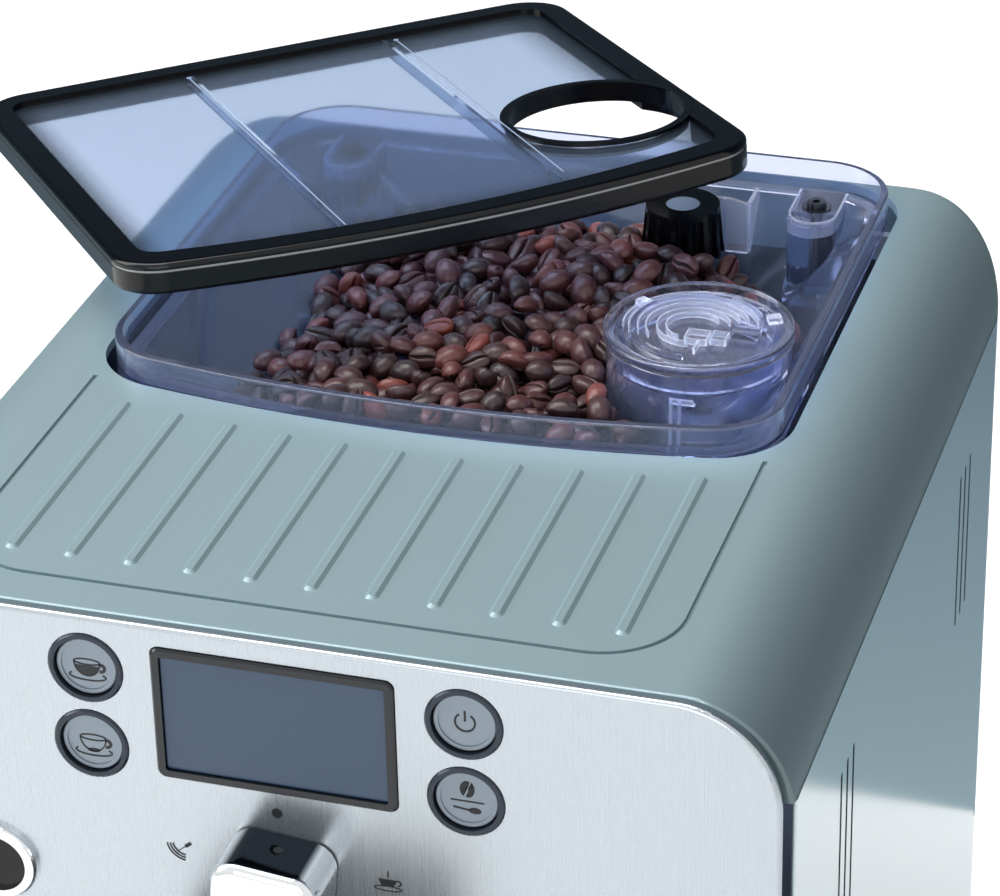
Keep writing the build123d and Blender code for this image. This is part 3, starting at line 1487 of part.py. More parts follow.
# Brew group: a removable block with the brew bore, side pockets and a grip for the hand
with BuildPart() as brew_group:
    group_x = (brew_x - brew_width / 2, brew_x + brew_width / 2)
    group_y = (brew_y - brew_depth / 2, brew_y + brew_depth / 2)
    slab(group_x, group_y, (brew_bottom_z, brew_top_z), radius=brew_corner_radius)
    bore_floor_z = brew_top_z - brew_bore_depth
    drum(brew_x, brew_y, (bore_floor_z, brew_top_z + overrun), brew_bore_radius, Mode.SUBTRACT)
    rod_hole_z = (bore_floor_z - piston_rod_length - overrun, bore_floor_z + overrun)
    drum(brew_x, brew_y, rod_hole_z, piston_rod_radius + running_gap, Mode.SUBTRACT)
    with BuildSketch(at_x(group_x[0])):
        with Locations((brew_y, brew_bottom_z + brew_height / 2)):
            with GridLocations(brew_depth / 2, 0, 2, 1):
                pocket_height = brew_height - 2 * brew_pocket_margin
                RectangleRounded(brew_depth / 2 - brew_pocket_margin, pocket_height, brew_pocket_radius)
    extrude(amount=brew_pocket_depth, mode=Mode.SUBTRACT)
    handle_x = (group_x[0], group_x[0] + brew_handle_depth)
    handle_z = brew_bottom_z + brew_height / 2
    slab(handle_x, (brew_y - brew_handle_width / 2, brew_y + brew_handle_width / 2),
         (handle_z - brew_handle_height / 2, handle_z + brew_handle_height / 2))
brew_group.part.label = "brew_group"
export_step(brew_group.part, "parts/brew_group.step")

# Brew piston with its rod and a groove for the seal
with BuildPart() as brew_piston:
    piston_z = bore_floor_z + seat_gap
    drum(brew_x, brew_y, (piston_z, piston_z + piston_height), brew_bore_radius - running_gap)
    drum(brew_x, brew_y, (piston_z - piston_rod_length + seat_gap, piston_z), piston_rod_radius)
    groove_z = piston_z + piston_height / 2
    with BuildSketch(at_z(groove_z)):
        with Locations((brew_x, brew_y)):
            Circle(brew_bore_radius)
            Circle(brew_bore_radius - seal_depth, mode=Mode.SUBTRACT)
    extrude(amount=seal_depth, mode=Mode.SUBTRACT)
brew_piston.part.label = "brew_piston"
export_step(brew_piston.part, "parts/brew_piston.step")

# Grounds duct: cup under doser and grinder, closed duct, and mouth over the brew bore
chute_run = Vector(brew_x - doser_x, brew_y - doser_y, 0)
with BuildPart() as grounds_chute:
    cup_floor_z = port_z - port_height / 2 - chute_wall
    mouth_top_z = shelf_top_z + chute_wall + chute_height
    drum(doser_x, doser_y, (cup_floor_z, hopper_floor_z - seat_gap), chute_cup_radius)
    drum(brew_x, brew_y, (brew_top_z + seat_gap, mouth_top_z), chute_mouth_radius)
    drum(brew_x, brew_y, (shelf_top_z, shelf_top_z + chute_wall), chute_mouth_radius + chute_flange)
    duct_plane = Plane(
        origin=(doser_x, doser_y, cup_floor_z + chute_height / 2),
        x_dir=chute_run.cross(Vector(0, 0, 1)),
        z_dir=chute_run - Vector(0, 0, cup_floor_z - shelf_top_z),
    )
    duct_length = (chute_run - Vector(0, 0, cup_floor_z - shelf_top_z)).length
    with BuildSketch(duct_plane):
        Rectangle(chute_width, chute_height)
    extrude(amount=duct_length)
    with BuildSketch(duct_plane):
        Rectangle(chute_width - 2 * chute_wall, chute_height - 2 * chute_wall)
    extrude(amount=duct_length, mode=Mode.SUBTRACT)
    cup_bore = chute_cup_radius - chute_wall
    mouth_bore = chute_mouth_radius - chute_wall
    drum(doser_x, doser_y, (cup_floor_z + chute_wall, hopper_floor_z), cup_bore, Mode.SUBTRACT)
    mouth_z = (brew_top_z, mouth_top_z - chute_wall)
    drum(brew_x, brew_y, mouth_z, mouth_bore, Mode.SUBTRACT)
    port_plane = Plane(
        origin=(grinder_x, grinder_y, port_z),
        x_dir=port_run.cross(Vector(0, 0, 1)),
        z_dir=port_run,
    )
    with BuildSketch(port_plane):
        Rectangle(port_width, port_height)
    extrude(amount=port_run.length, mode=Mode.SUBTRACT)
grounds_chute.part.label = "grounds_chute"
export_step(grounds_chute.part, "parts/grounds_chute.step")

# Grinder housing on the shelf: burr chamber, bean throat, side port for the grounds
with BuildPart() as grinder_housing:
    chamber_z = (shelf_top_z + housing_floor, burr_high_z)
    throat_z = (burr_high_z - overrun, shelf_top_z + housing_height + overrun)
    drum(grinder_x, grinder_y, (shelf_top_z, shelf_top_z + housing_height), housing_radius)
    chamfer(grinder_housing.faces().sort_by(Axis.Z)[-1].edges(), housing_chamfer)
    drum(grinder_x, grinder_y, chamber_z, burr_radius + seat_gap, Mode.SUBTRACT)
    drum(grinder_x, grinder_y, throat_z, outlet_radius + spigot_wall + seat_gap, Mode.SUBTRACT)
    floor_z = (shelf_top_z - overrun, shelf_top_z + housing_floor + overrun)
    drum(grinder_x, grinder_y, floor_z, drive_radius + slide_gap, Mode.SUBTRACT)
    with BuildSketch(port_plane):
        Rectangle(port_width, port_height)
    extrude(amount=housing_radius + overrun, mode=Mode.SUBTRACT)
grinder_housing.part.label = "grinder_housing"
export_step(grinder_housing.part, "parts/grinder_housing.step")

# Upper burr: fixed ring with a wide funnel for the beans
with BuildPart() as upper_burr:
    drum(grinder_x, grinder_y, (burr_high_z - burr_thickness, burr_high_z), burr_radius)
    with BuildSketch(at_z(burr_high_z - burr_thickness)):
        with Locations((grinder_x, grinder_y)):
            Circle(burr_bore_radius)
    with BuildSketch(at_z(burr_high_z)):
        with Locations((grinder_x, grinder_y)):
            Circle(outlet_radius)
    loft(mode=Mode.SUBTRACT)
    with BuildSketch(at_z(burr_high_z - burr_thickness)):
        with Locations((grinder_x, grinder_y)):
            with PolarLocations(burr_radius, burr_groove_count):
                Rectangle(burr_radius, burr_groove_width)
    extrude(amount=burr_groove_depth, mode=Mode.SUBTRACT)
upper_burr.part.label = "upper_burr"
export_step(upper_burr.part, "parts/upper_burr.step")

# Lower burr with its drive shaft
with BuildPart() as lower_burr:
    lower_radius = burr_radius - overrun
    drum(grinder_x, grinder_y, (burr_low_z, burr_low_z + burr_thickness), lower_radius)
    with BuildSketch(at_z(burr_low_z + burr_thickness)):
        with Locations((grinder_x, grinder_y)):
            with PolarLocations(lower_radius, burr_groove_count):
                Rectangle(lower_radius, burr_groove_width)
    extrude(amount=-burr_groove_depth, mode=Mode.SUBTRACT)
    drum(grinder_x, grinder_y, (shelf_z - drive_reach, burr_low_z), drive_radius)
lower_burr.part.label = "lower_burr"
export_step(lower_burr.part, "parts/lower_burr.step")

# Grinder motor under the shelf, with cooling slots round its case
with BuildPart() as grinder_motor:
    drum(grinder_x, grinder_y, (shelf_z - motor_height, shelf_z), motor_radius)
    slot_z = shelf_z - motor_height + motor_rim
    with BuildSketch(at_z(slot_z)):
        with Locations((grinder_x, grinder_y)):
            with PolarLocations(motor_radius, motor_fin_count):
                Rectangle(2 * motor_fin_depth, motor_fin_width)
    extrude(amount=motor_height - 2 * motor_rim, mode=Mode.SUBTRACT)
    bore_z = (shelf_z - drive_reach - overrun, shelf_z + overrun)
    drum(grinder_x, grinder_y, bore_z, drive_radius + running_gap, Mode.SUBTRACT)
grinder_motor.part.label = "grinder_motor"
export_step(grinder_motor.part, "parts/grinder_motor.step")

# Boiler hanging from the shelf, with bands, a water port at the rear and the steam tube to the front
with BuildPart() as boiler:
    drum(works_x, boiler_y, (boiler_bottom_z, shelf_z), boiler_radius)
    drum(works_x, boiler_y, (shelf_z - boiler_flange_height, shelf_z), boiler_flange_radius)
    for band_z in (boiler_bottom_z + boiler_band_height, boiler_inlet_z + 2 * boiler_port_radius):
        band = (band_z, band_z + boiler_band_height)
        drum(works_x, boiler_y, band, boiler_radius + boiler_band_rise)
    port_y = (boiler_y, boiler_y + boiler_radius + boiler_port_length)
    rod(works_x, port_y, boiler_inlet_z, boiler_port_radius)
    rod(works_x, (lower_panel_y + seat_gap, boiler_y), steam_tube_z, steam_tube_radius)
boiler.part.label = "boiler"
export_step(boiler.part, "parts/boiler.step")

# Pump: ring mount on four posts, body with bands, ports at both ends
with BuildPart() as pump:
    mount_z = (pump_bottom_z - pump_mount_height, pump_bottom_z)
    drum(works_x, pump_y, mount_z, pump_mount_radius)
    drum(works_x, pump_y, (pump_bottom_z, pump_top_z), pump_radius)
    for share in pump_band_shares:
        band_z = pump_bottom_z + share * pump_height
        drum(works_x, pump_y, (band_z, band_z + pump_mount_height), pump_radius + boiler_band_rise)
    drum(works_x, pump_y, (pump_top_z, pump_top_z + pump_port_length), pump_port_radius)
    drum(works_x, pump_y, mount_z, pump_mount_bore_radius, Mode.SUBTRACT)
pump.part.label = "pump"
export_step(pump.part, "parts/pump.step")

# Flow meter on the chassis floor
with BuildPart() as flow_meter:
    drum(meter_x, pump_y, (chassis_floor_z, chassis_floor_z + meter_height), meter_radius)
    chamfer(flow_meter.faces().sort_by(Axis.Z)[-1].edges(), meter_chamfer)
flow_meter.part.label = "flow_meter"
export_step(flow_meter.part, "parts/flow_meter.step")

# Three water hoses: tank valve to meter, meter to pump, pump to boiler
hose_runs = [
    [(valve_face_x, pump_y, valve_z), (meter_x, pump_y, valve_z),
     (meter_x, pump_y, chassis_floor_z + meter_height)],
    [(meter_x + meter_radius, pump_y, meter_port_z), (works_x, pump_y, meter_port_z),
     (works_x, pump_y, pump_bottom_z)],
    [(works_x, pump_y, pump_top_z + pump_port_length), (works_x, pump_y, boiler_inlet_z),
     (works_x, boiler_y + boiler_radius + boiler_port_length, boiler_inlet_z)],
]
with BuildPart() as water_hoses:
    for run in hose_runs:
        with BuildLine() as path:
            FilletPolyline(*run, radius=hose_bend_radius)
        with BuildSketch(path.line ^ 0):
            Circle(hose_radius)
        sweep(path=path.line)
water_hoses.part.label = "water_hoses"
export_step(water_hoses.part, "parts/water_hoses.step")

# Tank valve: block on the chassis floor with the spigot that enters the tank's socket
with BuildPart() as tank_valve:
    block_y = (pump_y - valve_block_length / 2, pump_y + valve_block_length / 2)
    slab((tank_inner_x + seat_gap, valve_face_x), block_y, (chassis_floor_z, valve_top_z))
    with BuildSketch(at_x(tank_inner_x + seat_gap)):
        with Locations((pump_y, valve_z)):
            Circle(valve_spigot_radius)
    extrude(amount=-valve_spigot_length)
tank_valve.part.label = "tank_valve"
export_step(tank_valve.part, "parts/tank_valve.step")

# Water tank: its outer wall stands flush in the left side, with a grip and a socket for the valve
with BuildPart() as water_tank:
    tank_x = (-side_x, tank_inner_x)
    slab(tank_x, (tank_front_y, tank_rear_y), (tank_bottom_z, tank_top_z), radius=tank_radius)
    inner_x = (-side_x + tank_wall, tank_inner_x - tank_wall)
    inner_y = (tank_front_y + tank_wall, tank_rear_y - tank_wall)
    slab(inner_x, inner_y, (tank_bottom_z + tank_wall, tank_top_z + overrun), Mode.SUBTRACT,
         tank_radius - tank_wall)
    grip_y = (tank_front_y + tank_rear_y) / 2
    grip_z = tank_top_z - 2 * tank_grip_height
    grip_low_y = grip_y - tank_grip_width / 2
    grip_high_y = grip_y + tank_grip_width / 2
    slab((-side_x, -side_x + tank_grip_depth + tank_wall), (grip_low_y - tank_wall, grip_high_y + tank_wall),
         (grip_z - tank_grip_height / 2 - tank_wall, grip_z + tank_grip_height / 2 + tank_wall))
    slab((-side_x - overrun, -side_x + tank_grip_depth), (grip_low_y, grip_high_y),
         (grip_z - tank_grip_height / 2, grip_z + tank_grip_height / 2), Mode.SUBTRACT)
    socket_length = valve_spigot_length + seat_gap
    with BuildSketch(at_x(tank_inner_x)):
        with Locations((pump_y, valve_z)):
            Circle(valve_spigot_radius + seat_gap + tank_wall)
    extrude(amount=-socket_length - tank_wall)
    with BuildSketch(at_x(tank_inner_x)):
        with Locations((pump_y, valve_z)):
            Circle(valve_spigot_radius + seat_gap)
    extrude(amount=-socket_length, mode=Mode.SUBTRACT)
water_tank.part.label = "water_tank"
export_step(water_tank.part, "parts/water_tank.step")

with BuildPart() as tank_lid:
    lid_x = (-side_x + tank_lid_inset, tank_inner_x - tank_lid_inset)
    lid_y = (tank_front_y + tank_lid_inset, tank_rear_y - tank_lid_inset)
    slab(lid_x, lid_y, (tank_top_z, tank_top_z + tank_lid_thickness), radius=tank_radius - tank_lid_inset)
    plug_inset = tank_wall + slide_gap
    plug_x = (-side_x + plug_inset, tank_inner_x - plug_inset)
    plug_y = (tank_front_y + plug_inset, tank_rear_y - plug_inset)
    slab(plug_x, plug_y, (tank_top_z - tank_lid_thickness, tank_top_z), radius=tank_radius - plug_inset)
tank_lid.part.label = "tank_lid"
export_step(tank_lid.part, "parts/tank_lid.step")

# Service door: skin with a rib round its inside, knuckles at the rear edge and moulded pins
with BuildPart() as service_door:
    skin_x = (-side_x, -side_x + panel_thickness)
    rib_x = (-side_x, -side_x + panel_thickness + door_rib_depth)
    door_y = (door_front_y, door_rear_y)
    door_z = (door_bottom_z, door_top_z)
    slab(rib_x, door_y, door_z)
    slab((skin_x[1], rib_x[1] + overrun), (door_front_y + door_rib_width, door_rear_y - door_rib_width),
         (door_bottom_z + door_rib_width, door_top_z - door_rib_width), Mode.SUBTRACT)
    drum(hinge_x, hinge_y, door_z, hinge_knuckle_radius)
    pin_z = (door_bottom_z - hinge_pin_length, door_top_z + hinge_pin_length)
    drum(hinge_x, hinge_y, pin_z, hinge_pin_radius)
service_door.part.label = "service_door"
export_step(service_door.part, "parts/service_door.step")

# Grounds drawer: box with a front plate and a finger recess
with BuildPart() as grounds_drawer:
    drawer_x = (drawer_left_x, drawer_right_x)
    drawer_y = (lower_panel_y, drawer_rear_y)
    slab(drawer_x, drawer_y, (drawer_bottom_z, drawer_top_z))
    slab((drawer_left_x + drawer_wall, drawer_right_x - drawer_wall),
         (lower_panel_y + drawer_grip_depth + 2 * drawer_wall, drawer_rear_y - drawer_wall),
         (drawer_bottom_z + drawer_wall, drawer_top_z + overrun), Mode.SUBTRACT)
    grip_x = (drawer_left_x + drawer_right_x) / 2
    drawer_grip_z = drawer_top_z - drawer_grip_height
    with BuildSketch(at_y(lower_panel_y)):
        with Locations((grip_x, drawer_grip_z)):
            RectangleRounded(drawer_grip_width, drawer_grip_height, drawer_grip_radius)
    extrude(amount=-drawer_grip_depth, mode=Mode.SUBTRACT)
grounds_drawer.part.label = "grounds_drawer"
export_step(grounds_drawer.part, "parts/grounds_drawer.step")

# Drip tray with a ledge for the grate and a guide pin for the float
with BuildPart() as drip_tray:
    tray_x = (-tray_half_width, tray_half_width)
    with BuildSketch(at_z(tray_bottom_z)):
        add(tray_plan(0))
    extrude(amount=tray_top_z - tray_bottom_z)
    with BuildSketch(at_z(tray_bottom_z + tray_wall)):
        add(tray_plan(tray_wall + tray_ledge))
    extrude(amount=tray_top_z - tray_bottom_z, mode=Mode.SUBTRACT)
    with BuildSketch(at_z(grate_z)):
        add(tray_plan(tray_wall))
    extrude(amount=grate_thickness, mode=Mode.SUBTRACT)
    with BuildSketch(at_z(tray_bottom_z + tray_wall)):
        add(tray_plan(tray_wall))
    extrude(amount=grate_z - tray_ledge - tray_bottom_z - tray_wall, mode=Mode.SUBTRACT)
    drum(0, float_y, (tray_bottom_z, tray_bottom_z + tray_wall + pin_height), guide_pin_radius)
drip_tray.part.label = "drip_tray"
export_step(drip_tray.part, "parts/drip_tray.step")

# Drip grate with long slots and a hole for the float
with BuildPart() as drip_grate:
    with BuildSketch(at_z(grate_z)):
        add(tray_plan(tray_wall + seat_gap))
    extrude(amount=grate_thickness + grate_rise)
    slot_front = tray_front_y + 2 * grate_slot_margin + 2 * float_radius
    slot_rear = tray_rear_y - grate_slot_margin
    with BuildSketch(at_z(grate_z)):
        with Locations((0, (slot_front + slot_rear) / 2)):
            with GridLocations(0, grate_slot_pitch, 1, grate_slot_count):
                SlotOverall(2 * (tray_half_width - grate_slot_margin), grate_slot_width)
        with Locations((0, float_y)):
            Circle(float_radius + float_hole_gap)
    extrude(amount=grate_thickness + grate_rise, mode=Mode.SUBTRACT)
drip_grate.part.label = "drip_grate"
export_step(drip_grate.part, "parts/drip_grate.step")

# Float that rises on the tray's pin when the tray is full
with BuildPart() as tray_float:
    float_bottom_z = tray_bottom_z + tray_wall + seat_gap
    drum(0, float_y, (float_bottom_z, float_bottom_z + float_height), float_radius)
    chamfer(tray_float.faces().sort_by(Axis.Z)[-1].edges(), float_hole_gap)
    drum(0, float_y, (float_bottom_z, float_bottom_z + pin_height), float_bore_radius, Mode.SUBTRACT)
tray_float.part.label = "tray_float"
export_step(tray_float.part, "parts/tray_float.step")

# Dispenser housing, open at the bottom, and the spout carriage that slides down out of it
with BuildPart() as dispenser_housing:
    dispenser_front_y = front_y - dispenser_reach
    with BuildSketch(at_z(dispenser_bottom_z)):
        add(dispenser_plan(0))
    extrude(amount=dispenser_top_z - dispenser_bottom_z)
    top_edges = dispenser_housing.faces().sort_by(Axis.Z)[-1].edges().sort_by(Axis.Y)[:-1]
    fillet(top_edges, dispenser_edge_radius)
    with BuildSketch(at_z(dispenser_bottom_z)):
        add(dispenser_plan(dispenser_wall))
    extrude(amount=dispenser_top_z - dispenser_bottom_z - dispenser_wall - dispenser_edge_radius / 2,
            mode=Mode.SUBTRACT)
dispenser_housing.part.label = "dispenser_housing"
export_step(dispenser_housing.part, "parts/dispenser_housing.step")

with BuildPart() as spout_carriage:
    carriage_bottom_z = dispenser_bottom_z - carriage_drop
    carriage_height = dispenser_top_z - carriage_top_gap - carriage_bottom_z
    with BuildSketch(at_z(carriage_bottom_z)):
        add(dispenser_plan(dispenser_wall + carriage_gap))
    extrude(amount=carriage_height)
    with BuildSketch(at_z(carriage_bottom_z + carriage_wall)):
        add(dispenser_plan(dispenser_wall + carriage_gap + carriage_wall))
    extrude(amount=carriage_height, mode=Mode.SUBTRACT)
    nozzle_y = front_y - nozzle_setback
    for side in (-1, 1):
        with BuildSketch(at_z(carriage_bottom_z - nozzle_length)):
            with Locations((side * nozzle_x, nozzle_y)):
                Circle(nozzle_tip_radius)
        with BuildSketch(at_z(carriage_bottom_z)):
            with Locations((side * nozzle_x, nozzle_y)):
                Circle(nozzle_radius)
        loft()
        nozzle_z = (carriage_bottom_z - nozzle_length - overrun, carriage_bottom_z + carriage_wall + overrun)
        drum(side * nozzle_x, nozzle_y, nozzle_z, nozzle_bore_radius, Mode.SUBTRACT)
spout_carriage.part.label = "spout_carriage"
export_step(spout_carriage.part, "parts/spout_carriage.step")

# Steam pipe that swivels in its socket, with the frothing sleeve on its end
with BuildPart() as steam_pipe:
    lean_run = Vector(0, -wand_drop * wand_slope, -wand_drop)
    bend_point = Vector(works_x, wand_y, wand_top_z - socket_height - wand_fall)
    end_point = bend_point + lean_run
    with BuildLine() as pipe_path:
        start_z = wand_top_z - socket_cap - seat_gap
        FilletPolyline((works_x, wand_y, start_z), tuple(bend_point), tuple(end_point),
                       radius=wand_bend_radius)
    with BuildSketch(pipe_path.line ^ 0):
        Circle(wand_pipe_radius)
    sweep(path=pipe_path.line)
steam_pipe.part.label = "steam_pipe"
export_step(steam_pipe.part, "parts/steam_pipe.step")

with BuildPart() as wand_sleeve:
    sleeve_start = end_point - lean_run.normalized() * sleeve_overlap
    sleeve_plane = Plane(origin=sleeve_start, z_dir=lean_run)
    with BuildSketch(sleeve_plane):
        Circle(sleeve_radius)
    with BuildSketch(sleeve_plane.offset(sleeve_length)):
        Circle(sleeve_tip_radius)
    loft()
    with BuildSketch(sleeve_plane):
        Circle(wand_pipe_radius)
    extrude(amount=sleeve_overlap, mode=Mode.SUBTRACT)
    with BuildSketch(sleeve_plane.offset(sleeve_overlap)):
        Circle(steam_tube_radius / 2)
    extrude(amount=sleeve_length, mode=Mode.SUBTRACT)
wand_sleeve.part.label = "wand_sleeve"
export_step(wand_sleeve.part, "parts/wand_sleeve.step")
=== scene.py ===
# %% [markdown]
# A bean to cup coffee machine, dressed from its solid model. The solids already have the right
# size and place, so this lesson gives them finishes, and adds what is too fine for the solids:
# coffee beans, printed signs on the keys, small mouldings in the hopper. First the frame is loaded.

# %% Load the frame
import math
import random

import bmesh
import bpy
from mathutils import Matrix, Vector, noise


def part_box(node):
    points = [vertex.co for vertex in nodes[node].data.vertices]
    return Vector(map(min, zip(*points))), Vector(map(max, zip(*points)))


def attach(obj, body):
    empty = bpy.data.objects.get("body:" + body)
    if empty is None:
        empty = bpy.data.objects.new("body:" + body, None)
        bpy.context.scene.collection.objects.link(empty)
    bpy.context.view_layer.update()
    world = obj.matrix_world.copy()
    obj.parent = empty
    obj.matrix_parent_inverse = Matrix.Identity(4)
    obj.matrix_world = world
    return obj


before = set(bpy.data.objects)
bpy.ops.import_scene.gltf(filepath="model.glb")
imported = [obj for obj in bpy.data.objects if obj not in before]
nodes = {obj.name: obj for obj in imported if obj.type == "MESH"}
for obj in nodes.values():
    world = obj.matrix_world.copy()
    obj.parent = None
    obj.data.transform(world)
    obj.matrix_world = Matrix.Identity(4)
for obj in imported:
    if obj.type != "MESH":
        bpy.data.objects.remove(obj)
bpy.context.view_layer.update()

mm = 0.001
print("nodes loaded:", len(nodes))

# %% [markdown]
# Sizes that more than one step needs. They repeat the solid model's own numbers, in millimetres,
# so that each added piece lands on the part that carries it: the front's face, the keys' faces and
# middles, the doser's tube, the grinder's knob, and the hopper's ledge with its two screw tabs.

# %% Shared sizes
front_y = -146.5
key_y = -145.55
key_x = 48.4
key_z = (290.0, 267.95)
doser = (62.0, 24.7)
doser_radius = 25.2
knob = (35.3, 109.86)
ledge_z = 301.5
tab = (71.5, 125.95)

# %% [markdown]
# Small helpers. A mesh made from points and faces is the base of nearly every added piece, and
# every one of them must ride on a body of the model and take a finish.

# %% Mesh helper
def make_object(name, points, faces, material, body="machine", smooth=True):
    """A mesh from points in millimetres, riding on a body."""
    mesh = bpy.data.meshes.new(name)
    mesh.from_pydata([Vector(p) * mm for p in points], [], faces)
    mesh.materials.append(material)
    for polygon in mesh.polygons:
        polygon.use_smooth = smooth
    mesh.validate()
    piece = bpy.data.objects.new(name, mesh)
    bpy.context.scene.collection.objects.link(piece)
    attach(piece, body)
    return piece

# %% [markdown]
# Effects that several finishes share are node groups. The first gives fine unevenness: a value
# that wavers about a middle, for roughness that isn't the same everywhere, and a bumped normal.

# %% Group for fine unevenness
def new_group(name, inputs, outputs):
    """An empty shader group with named float sockets."""
    group = bpy.data.node_groups.new(name, "ShaderNodeTree")
    for label, value in inputs:
        socket = group.interface.new_socket(label, in_out="INPUT", socket_type="NodeSocketFloat")
        socket.default_value = value
    for label, kind in outputs:
        group.interface.new_socket(label, in_out="OUTPUT", socket_type=kind)
    return group, group.nodes.new("NodeGroupInput"), group.nodes.new("NodeGroupOutput")

grain_relief = 0.0002

def build_unevenness():
    """Roughness and normal of a surface that is never quite even."""
    inputs = [("Size", 900.0), ("Detail", 4.0), ("Low", 0.3), ("High", 0.5), ("Bump", 0.05)]
    outputs = [("Roughness", "NodeSocketFloat"), ("Normal", "NodeSocketVector")]
    group, given, result = new_group("fine unevenness", inputs, outputs)
    place = group.nodes.new("ShaderNodeTexCoord")
    cloud = group.nodes.new("ShaderNodeTexNoise")
    spread = group.nodes.new("ShaderNodeMapRange")
    bump = group.nodes.new("ShaderNodeBump")
    bump.inputs["Distance"].default_value = grain_relief
    link = group.links.new
    link(place.outputs["Object"], cloud.inputs["Vector"])
    link(given.outputs["Size"], cloud.inputs["Scale"])
    link(given.outputs["Detail"], cloud.inputs["Detail"])
    link(cloud.outputs["Fac"], spread.inputs["Value"])
    link(given.outputs["Low"], spread.inputs["To Min"])
    link(given.outputs["High"], spread.inputs["To Max"])
    link(cloud.outputs["Fac"], bump.inputs["Height"])
    link(given.outputs["Bump"], bump.inputs["Strength"])
    link(spread.outputs["Result"], result.inputs["Roughness"])
    link(bump.outputs["Normal"], result.inputs["Normal"])
    return group

unevenness = build_unevenness()
print("group:", unevenness.name)

# %% [markdown]
# Brushed steel has long fine lines in one direction. Noise that is squeezed across the lines and
# stretched along them gives that, as a tone, a roughness and a bump.

# %% Group for brushed lines
brush_relief = 0.0001

def build_brushing():
    """Tone, roughness and normal of steel that was brushed one way."""
    inputs = [("Across", 3000.0), ("Along", 12.0), ("Low", 0.25), ("High", 0.4), ("Bump", 0.1),
              ("Dark", 0.9), ("Light", 1.0)]
    outputs = [("Tone", "NodeSocketFloat"), ("Roughness", "NodeSocketFloat"), ("Normal", "NodeSocketVector")]
    group, given, result = new_group("brushed lines", inputs, outputs)
    place = group.nodes.new("ShaderNodeTexCoord")
    scale = group.nodes.new("ShaderNodeCombineXYZ")
    stretch = group.nodes.new("ShaderNodeVectorMath")
    stretch.operation = "MULTIPLY"
    lines = group.nodes.new("ShaderNodeTexNoise")
    lines.inputs["Scale"].default_value = 1.0
    lines.inputs["Detail"].default_value = 5.0
    rough = group.nodes.new("ShaderNodeMapRange")
    tone = group.nodes.new("ShaderNodeMapRange")
    bump = group.nodes.new("ShaderNodeBump")
    bump.inputs["Distance"].default_value = brush_relief
    link = group.links.new
    link(given.outputs["Across"], scale.inputs["X"])
    link(given.outputs["Across"], scale.inputs["Y"])
    link(given.outputs["Along"], scale.inputs["Z"])
    link(place.outputs["Object"], stretch.inputs[0])
    link(scale.outputs["Vector"], stretch.inputs[1])
    link(stretch.outputs["Vector"], lines.inputs["Vector"])
    link(lines.outputs["Fac"], rough.inputs["Value"])
    link(given.outputs["Low"], rough.inputs["To Min"])
    link(given.outputs["High"], rough.inputs["To Max"])
    link(lines.outputs["Fac"], tone.inputs["Value"])
    link(given.outputs["Dark"], tone.inputs["To Min"])
    link(given.outputs["Light"], tone.inputs["To Max"])
    link(lines.outputs["Fac"], bump.inputs["Height"])
    link(given.outputs["Bump"], bump.inputs["Strength"])
    link(tone.outputs["Result"], result.inputs["Tone"])
    link(rough.outputs["Result"], result.inputs["Roughness"])
    link(bump.outputs["Normal"], result.inputs["Normal"])
    return group

brushing = build_brushing()
print("group:", brushing.name)

# %% [markdown]
# Most plain finishes differ only in colour, gloss and grain, so one function makes them. What is
# the same all over is set on the shader's own sockets; only what varies is linked.

# %% Plain finish
def colour(code):
    """Linear colour from a screen colour written as six hex digits."""
    channels = [int(code[i:i + 2], 16) / 255 for i in (0, 2, 4)]
    return [c / 12.92 if c <= 0.04045 else ((c + 0.055) / 1.055) ** 2.4 for c in channels] + [1.0]

def plain(name, code, low, high, size=900.0, bump=0.05, metallic=0.0, shine=0.5):
    """A finish of one colour whose gloss wavers finely."""
    material = bpy.data.materials.new(name)
    material.use_nodes = True
    tree = material.node_tree
    shader = tree.nodes["Principled BSDF"]
    shader.inputs["Base Color"].default_value = colour(code)
    shader.inputs["Metallic"].default_value = metallic
    shader.inputs["Specular IOR Level"].default_value = shine
    grain = tree.nodes.new("ShaderNodeGroup")
    grain.node_tree = unevenness
    grain.inputs["Size"].default_value = size
    grain.inputs["Low"].default_value = low
    grain.inputs["High"].default_value = high
    grain.inputs["Bump"].default_value = bump
    tree.links.new(grain.outputs["Roughness"], shader.inputs["Roughness"])
    tree.links.new(grain.outputs["Normal"], shader.inputs["Normal"])
    return material

black_gloss = plain("black gloss plastic", "06080C", 0.12, 0.2, 1200.0, 0.02, shine=0.32)
black_satin = plain("black satin plastic", "0B0C0E", 0.22, 0.34, 1500.0, 0.05)
black_matte = plain("black matte plastic", "121315", 0.5, 0.62, 1800.0, 0.2)
dark_matte = plain("dark grey plastic", "2A2C2F", 0.48, 0.6, 1800.0, 0.2)
frame_grey = plain("grey carcass plastic", "6B6F74", 0.45, 0.58, 1500.0, 0.15)
pale_plastic = plain("pale plastic", "C9CDD1", 0.3, 0.42, 1200.0, 0.05)
grey_inlay = plain("grey inlay", "66758A", 0.3, 0.4, 1200.0, 0.05)
backing_grey = plain("grey backing", "5A6B73", 0.35, 0.45, 900.0, 0.05)
window_line = plain("window line", "8FA2BE", 0.3, 0.4, 1200.0, 0.05)
rubber = plain("black rubber", "0E0E0F", 0.65, 0.8, 2400.0, 0.25)
hose_rubber = plain("milky hose", "C3C6C9", 0.3, 0.4, 900.0, 0.05)
bezel_gloss = plain("display frame", "11161E", 0.14, 0.2, 700.0, 0.01)
screen_blue = plain("display face", "354C66", 0.2, 0.26, 700.0, 0.01)
board_green = plain("circuit board", "0F5A2E", 0.4, 0.5, 1500.0, 0.1)
